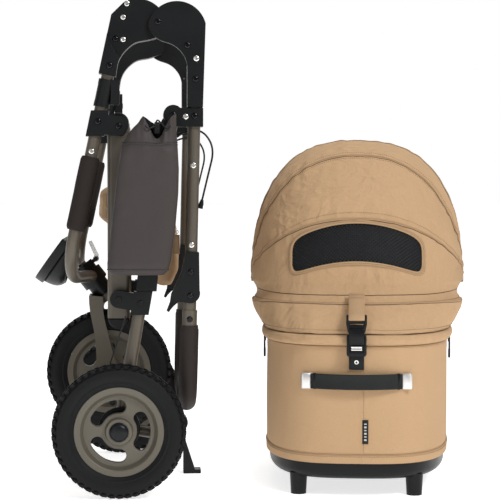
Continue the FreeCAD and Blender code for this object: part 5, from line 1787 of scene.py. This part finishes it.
    def cut_window(self, pattern):
        """Opens the window and draws the cut edge onto its outline."""
        inside, kept = set(), set()
        faces, marks, removed = [], [], []
        for face, mark in zip(pattern.faces, pattern.finish):
            middle_place = sum((pattern.points[i] for i in face), Vector()) / len(face) / MM
            if middle_place.y < -120 and abs(middle_place.x) < 120 and self.window(middle_place.x,
                    middle_place.z) < 1:
                removed.append(face)
                inside.update(face)
            else:
                faces.append(face)
                marks.append(mark)
                kept.update(face)
        pattern.faces, pattern.finish = faces, marks
        edge = self.window_edge()
        places = np.array([(p.x, p.z) for p in edge])
        for i in inside & kept:
            p = pattern.points[i] / MM
            nearest = edge[int(((places - np.array((p.x, p.z))) ** 2).sum(1).argmin())]
            pattern.points[i] = nearest * MM
        used = {}
        for face in pattern.faces:
            for i in face:
                used.setdefault(i, len(used))
        order = sorted(used, key=used.get)
        pattern.points = [pattern.points[i] for i in order]
        pattern.cloth = [pattern.cloth[i] for i in order]
        pattern.faces = [tuple(used[i] for i in face) for face in pattern.faces]

    def trim(self, name, rows, marks, body, end):
        """Piping over the hoops, the fold and hem lines, thin near-black tubes beside the seams as painted
        seam shadow, and double rows of stitches.
        """
        seam = bpy.context.scene.stroller.hood.seam
        piping, shadow, lines = Pattern(), Pattern(), []
        for (kind, level), row in zip(marks, rows):
            line = [p * MM for p in row]
            if kind == "dome" and level in (1.0, 2.0, 2.88):
                piping.tube(line, seam if end < 0 else seam * 0.7, sides=6)
            if kind == "skirt" and level == 328:
                piping.tube(line, 0.0014, sides=6)
            # thin near-black tubes just beside the piping and stitch lines: painted seam shadow
            if kind == "dome" and level in (0.965, 1.965, 2.85) or kind == "skirt" and level in (327, 345):
                shadow.tube(line, 0.0008, sides=5)
            if kind == "dome" and level in (1.07, 1.93, 2.07, 2.91) or kind == "skirt" and level in (345,
                    331.5, 287):
                lines.append([CARRIER @ (p * MM + Vector((p.x, p.y, 0)).normalized() * 0.0003) for p in row])
        for pattern, tag, coat_name in ((piping, "piping", "piping"), (shadow, "seam_fold", "shade")):
            made = pattern.piece(name + "_hood_" + tag, [finish(coat_name)], CARRIER)
            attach(made, body)
        run = stitched(name + "_hood_stitches", lines, body)

    def net(self):
        """The fine mesh behind the window and the binding sewn round it."""
        rows = []
        for i in range(31):
            row = []
            for j in range(91):
                u = -117.0 + 234.0 * j / 90
                top, low = 471.0 - 30.0 * (u / 114.0) ** 2, 398.0 - 25.0 * (u / 114.0) ** 2
                z = low + (top - low) * i / 30
                dent = 1.2 * ruffle((u, 0, z), 0.02, 8.0) + 0.8 * ruffle((u, 0, z), 0.05, 1.0)
                row.append(self.on_dome(u, z, -2.4 + dent) * MM)
            rows.append(row)
        pattern = Pattern()
        pattern.sheet(rows, 0, cloth=True)
        net = pattern.piece("window_netting", [finish("net")], CARRIER, smooth=180)
        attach(net, "front_hood")
        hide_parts("window_mesh")
        width, length, area = flat_cloth(rows)
        edge = self.window_edge(2.2)
        normals = [self.dome_normal(p.x, p.y, p.z) for p in edge]
        band = Pattern()
        band.tube([(p + n * 0.3) * MM for p, n in zip(edge, normals)], 0.0034, sides=10, closed=True,
            flat=0.36,
            up=normals)
        binding = band.piece("window_binding", [finish("piping")], CARRIER)
        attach(binding, "front_hood")
        outer = self.window_edge(5.2)
        lines = [[CARRIER @ ((p + n * 0.5) * MM) for p, n in zip(outer + outer[:1], normals + normals[:1])],
            [CARRIER @ ((p + n * 1.6) * MM) for p, n in zip(edge + edge[:1], normals + normals[:1])]]
        run = stitched("window_stitches", lines, "front_hood", 0.0036)


class STROLLER_OT_fittings(bpy.types.Operator):
    """Makes the grab straps with their plates, the centre buckle with its webbing, and the zip pulls"""
    bl_idname = "stroller.fittings"
    bl_label = "Carrier fittings"

    def execute(self, context):
        self.grab_straps()
        self.buckle()
        self.zip_pulls()
        return {"FINISHED"}

    def end_wall(self, u):
        return BODY[1] * (1 - abs(u / BODY[0]) ** BODY[2]) ** (1 / BODY[2])

    def grab_straps(self):
        strap, plates = Pattern(), Pattern()
        for end in (-1, 1):
            low, bow = self.end_wall(80.0) + 6.0, self.end_wall(0.0) + 16.0
            radius = (80.0 ** 2 + (bow - low) ** 2) / (2 * (bow - low))
            line = []
            for i in range(81):
                u = -78.0 + 156.0 * i / 80
                line.append((u, bow - radius + math.sqrt(radius ** 2 - u ** 2)))
            section = [(-12.9, -0.9), (-12.3, -1.3), (-9, -1.4), (9, -1.4), (12.3, -1.3), (12.9, -0.9),
                (12.9, 0.9),
                (12.3, 1.3), (11.3, 1.5), (10.6, 1.25), (-10.6, 1.25), (-11.3, 1.5), (-12.3, 1.3),
                (-12.9, 0.9)]
            rows = []
            for u, v in line:
                rib = 0.55 if 56 < abs(u) < 69 and (abs(u) - 56) % 4.4 < 2.2 else 0.0
                rows.append([Vector((u, end * (v + out + (rib if out > 0 else 0)), 201.5 + z)) * MM for z,
                        out in section])
            strap.sheet(rows, 0, ring=True, flip=end < 0)
            strap.cap(rows[0], 0, flip=end > 0)
            strap.cap(rows[-1], 0, flip=end < 0)
            for side in (-1, 1):
                place = Matrix.Translation(Vector((side * 83.5, end * (self.end_wall(83.5) + 4.6),
                            201.5)) * MM)
                turn = Matrix.Rotation(end * side * math.radians(7.5), 4, "Z")
                plates.solid(rounded_block((0.0215, 0.0078, 0.0285), 0.0037, 4), 0, place @ turn)
                plates.solid(rounded_block((0.0150, 0.0012, 0.0225), 0.0005, 2), 0,
                    place @ turn @ Matrix.Translation((0, end * 0.0038, 0)))
                slot_place = Matrix.Translation(Vector((side * 71.0, end * (self.end_wall(72.0) + 6.6),
                            201.5)) * MM)
                plates.solid(rounded_block((0.0058, 0.0056, 0.0272), 0.001, 2), 1, slot_place @ turn)
        made = strap.piece("grab_straps", [finish("webbing")], CARRIER, smooth=40)
        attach(made, "carrier")
        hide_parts("grab_handles")
        ends = plates.piece("grab_strap_plates", [finish("satin"), finish("glossy")], CARRIER, smooth=45)
        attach(ends, "carrier")

    def buckle(self):
        mid = -339.0

        def block(pattern, size, edge, place, mark=0, turn=0.0):
            pattern.solid(rounded_block([s * MM for s in size], edge * MM, 3), mark,
                Matrix.Translation(Vector(place) * MM) @ Matrix.Rotation(math.radians(turn), 4, "Y"))
        upper = Pattern()
        block(upper, (35, 6.5, 7.5), 2.2, (0, mid + 0.5, 312.5))
        block(upper, (35, 5.0, 5.0), 1.6, (0, mid + 1.0, 303.0))
        for side in (-1, 1):
            block(upper, (6.5, 7.0, 16.0), 2.2, (side * 14.2, mid + 0.3, 308.0))
            block(upper, (6.2, 8.0, 19.0), 2.4, (side * 13.2, mid, 294.8), 0, side * 11.0)
        block(upper, (24, 8.0, 14.0), 2.4, (0, mid + 1.5, 292.0))
        top = upper.piece("buckle_catch", [finish("plastic")], CARRIER, smooth=40)
        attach(top, "front_hood")
        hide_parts("buckle_upper")
        lower = Pattern()
        block(lower, (33.5, 9.0, 36.0), 3.0, (0, mid + 3.0, 264.0))
        block(lower, (26.5, 4.5, 29.0), 4.0, (0, mid - 3.6, 279.5), 1)
        block(lower, (22.5, 1.6, 24.0), 3.4, (0, mid - 6.0, 280.0), 1)
        block(lower, (19.0, 3.4, 4.2), 1.4, (0, mid - 4.6, 261.6), 2)
        block(lower, (19.0, 4.0, 3.0), 1.2, (0, mid - 3.6, 257.4), 2)
        block(lower, (30.0, 4.0, 10.0), 1.8, (0, mid - 1.8, 250.6))
        for side in (-1, 1):
            block(lower, (3.6, 4.4, 30.0), 1.6, (side * 14.4, mid - 2.6, 266.0))
        base = lower.piece("buckle_body", [finish("plastic"), finish("glossy"), finish("steel")], CARRIER,
            smooth=40)
        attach(base, "carrier")
        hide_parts("buckle_lower")
        self.buckle_webbing()

    def buckle_webbing(self):
        """Tan webbing from the hood's band round the catch's bar, and the black tab with its snap."""
        def strip(pattern, path, width, thick, mark=0):
            rows = []
            for i, p in enumerate(path):
                ahead = path[min(i + 1, len(path) - 1)] - path[max(i - 1, 0)]
                out = Vector((0, -ahead.z, ahead.y)).normalized() * thick / 2
                rows.append([(p + Vector((sx * width / 2, 0, 0)) + out * so) * MM
                        for sx, so in ((-1, 0.5), (-0.97, 1), (0.97, 1), (1, 0.5), (1, -0.5), (0.97, -1),
                            (-0.97, -1), (-1, -0.5))])
            pattern.sheet(rows, mark, ring=True)
            pattern.cap(rows[0], mark, flip=True)
            pattern.cap(rows[-1], mark)
        tan = Pattern()
        front = curve_line([Vector((0, v, z)) for v,
                z in ((-281, 347.5), (-289, 345), (-310, 334), (-330, 322),
                    (-341.5, 315), (-343.5, 309.5), (-340, 306.5), (-335.5, 309),
                    (-328, 316), (-308, 328), (-290, 338))], 6)
        strip(tan, front, 27.0, 1.9)
        loop = tan.piece("buckle_loop", [finish("tape")], CARRIER, smooth=60)
        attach(loop, "front_hood")
        outward(loop)
        lines = [[CARRIER @ (Vector((x, -289.5 - 1.4 + dv, 346.6 + dz)) * MM)
                for x in np.linspace(-11.5, 11.5, 12)]
            for dv, dz in ((0, 0), (-8.5, -4.8))]
        run = stitched("buckle_loop_stitches", lines, "front_hood", 0.003)
        tab = Pattern()
        tab.solid(rounded_block((0.0255, 0.0032, 0.0300), 0.0012, 2), 0,
            Matrix.Translation(Vector((0, -BODY[1] - 4.4, 236.5)) * MM))
        ring = []
        outline = [(0.6, 0.2), (1.5, 1.0), (2.2, 1.5), (3.0, 1.7), (3.7, 1.4), (4.1, 0.6), (4.2, 0.0)]
        for i in range(40):
            t = 2 * math.pi * i / 40
            ring.append([Vector((r * math.cos(t), -BODY[1] - 6.0 - h, 235.0 + r * math.sin(t))) * MM for r,
                    h in outline])
        tab.sheet(ring, 1, tube=True)
        tab.tube([Vector((0, -BODY[1] - 5.8, 235)) * MM, Vector((0, -BODY[1] - 6.6, 235)) * MM], 0.0015, 2,
            sides=12)
        made = tab.piece("buckle_tab", [finish("webbing"), finish("steel"), finish("glossy")], CARRIER,
            smooth=40)
        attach(made, "carrier")
        edge = [(-11.2, 223.5), (-11.2, 249), (11.2, 249), (11.2, 223.5), (-11.2, 223.5)]
        line = even([Vector((u, -BODY[1] - 6.05, z)) for u, z in edge], 44)
        run = stitched("tab_stitches", [[CARRIER @ (p * MM) for p in line]], "carrier", 0.003, "lining")

    def zip_pulls(self):
        pattern = Pattern()
        for side in (-1, 1):
            u, v = side * (BODY[0] + 2.6), -114.0
            pattern.solid(rounded_block((0.0042, 0.0085, 0.0105), 0.0012, 2), 0,
                Matrix.Translation(Vector((u, v, 255.6)) * MM))
            cord = curve_line([Vector((u + side * 0.6, v, z)) * MM for z in (251, 244, 232)], 6)
            pattern.tube(cord, 0.0017, 1, sides=8)
            pattern.solid(rounded_block((0.0040, 0.0050, 0.0170), 0.0016, 2), 1,
                Matrix.Translation(Vector((u + side * 0.4, v, 229.6)) * MM))
        pulls = pattern.piece("zip_pull_pair", [finish("dark"), finish("plastic")], CARRIER, smooth=45)
        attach(pulls, "carrier")
        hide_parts("zip_pulls")


# ---- panel and run --------------------------------------------------------------------------
STEPS = ("stage", "wheels", "tubes", "mouldings", "screws", "grips", "cables", "straps", "bag", "basket",
    "carrier_body", "hood", "fittings")


class STROLLER_PT_panel(bpy.types.Panel):
    """Sizes, colours and making steps of the stroller"""
    bl_idname = "STROLLER_PT_panel"
    bl_label = "Pet Stroller"
    bl_space_type = "VIEW_3D"
    bl_region_type = "UI"
    bl_category = "Stroller"

    def draw(self, context):
        settings = context.scene.stroller
        for title, group_name, props in (("Colours", "colours",
                ("paint", "rim", "plastic", "rubber", "canvas", "bag", "grip")),
                ("Wheels", "wheels", ("blocks", "block")),
                ("Hood", "hood", ("sag", "pucker", "seam")),
                ("Sewing", "sewing", ("pitch", "thread"))):
            box = self.layout.box()
            box.label(text=title)
            for prop in props:
                box.prop(getattr(settings, group_name), prop)
        for step in STEPS:
            self.layout.operator("stroller." + step)


CLASSES = (StrollerColours, StrollerWheels, StrollerHood, StrollerSewing, StrollerSettings, STROLLER_OT_stage,
    STROLLER_OT_wheels, STROLLER_OT_tubes, STROLLER_OT_mouldings, STROLLER_OT_screws, STROLLER_OT_grips,
    STROLLER_OT_cables, STROLLER_OT_straps, STROLLER_OT_bag, STROLLER_OT_basket, STROLLER_OT_carrier_body,
    STROLLER_OT_hood, STROLLER_OT_fittings, STROLLER_PT_panel)


def register():
    for cls in CLASSES:
        bpy.utils.register_class(cls)
    bpy.types.Scene.stroller = bpy.props.PointerProperty(type=StrollerSettings)


def unregister():
    del bpy.types.Scene.stroller
    for cls in reversed(CLASSES):
        bpy.utils.unregister_class(cls)


def main():
    register()
    for step in STEPS:
        getattr(bpy.ops.stroller, step)()


if __name__ == "__main__":
    main()
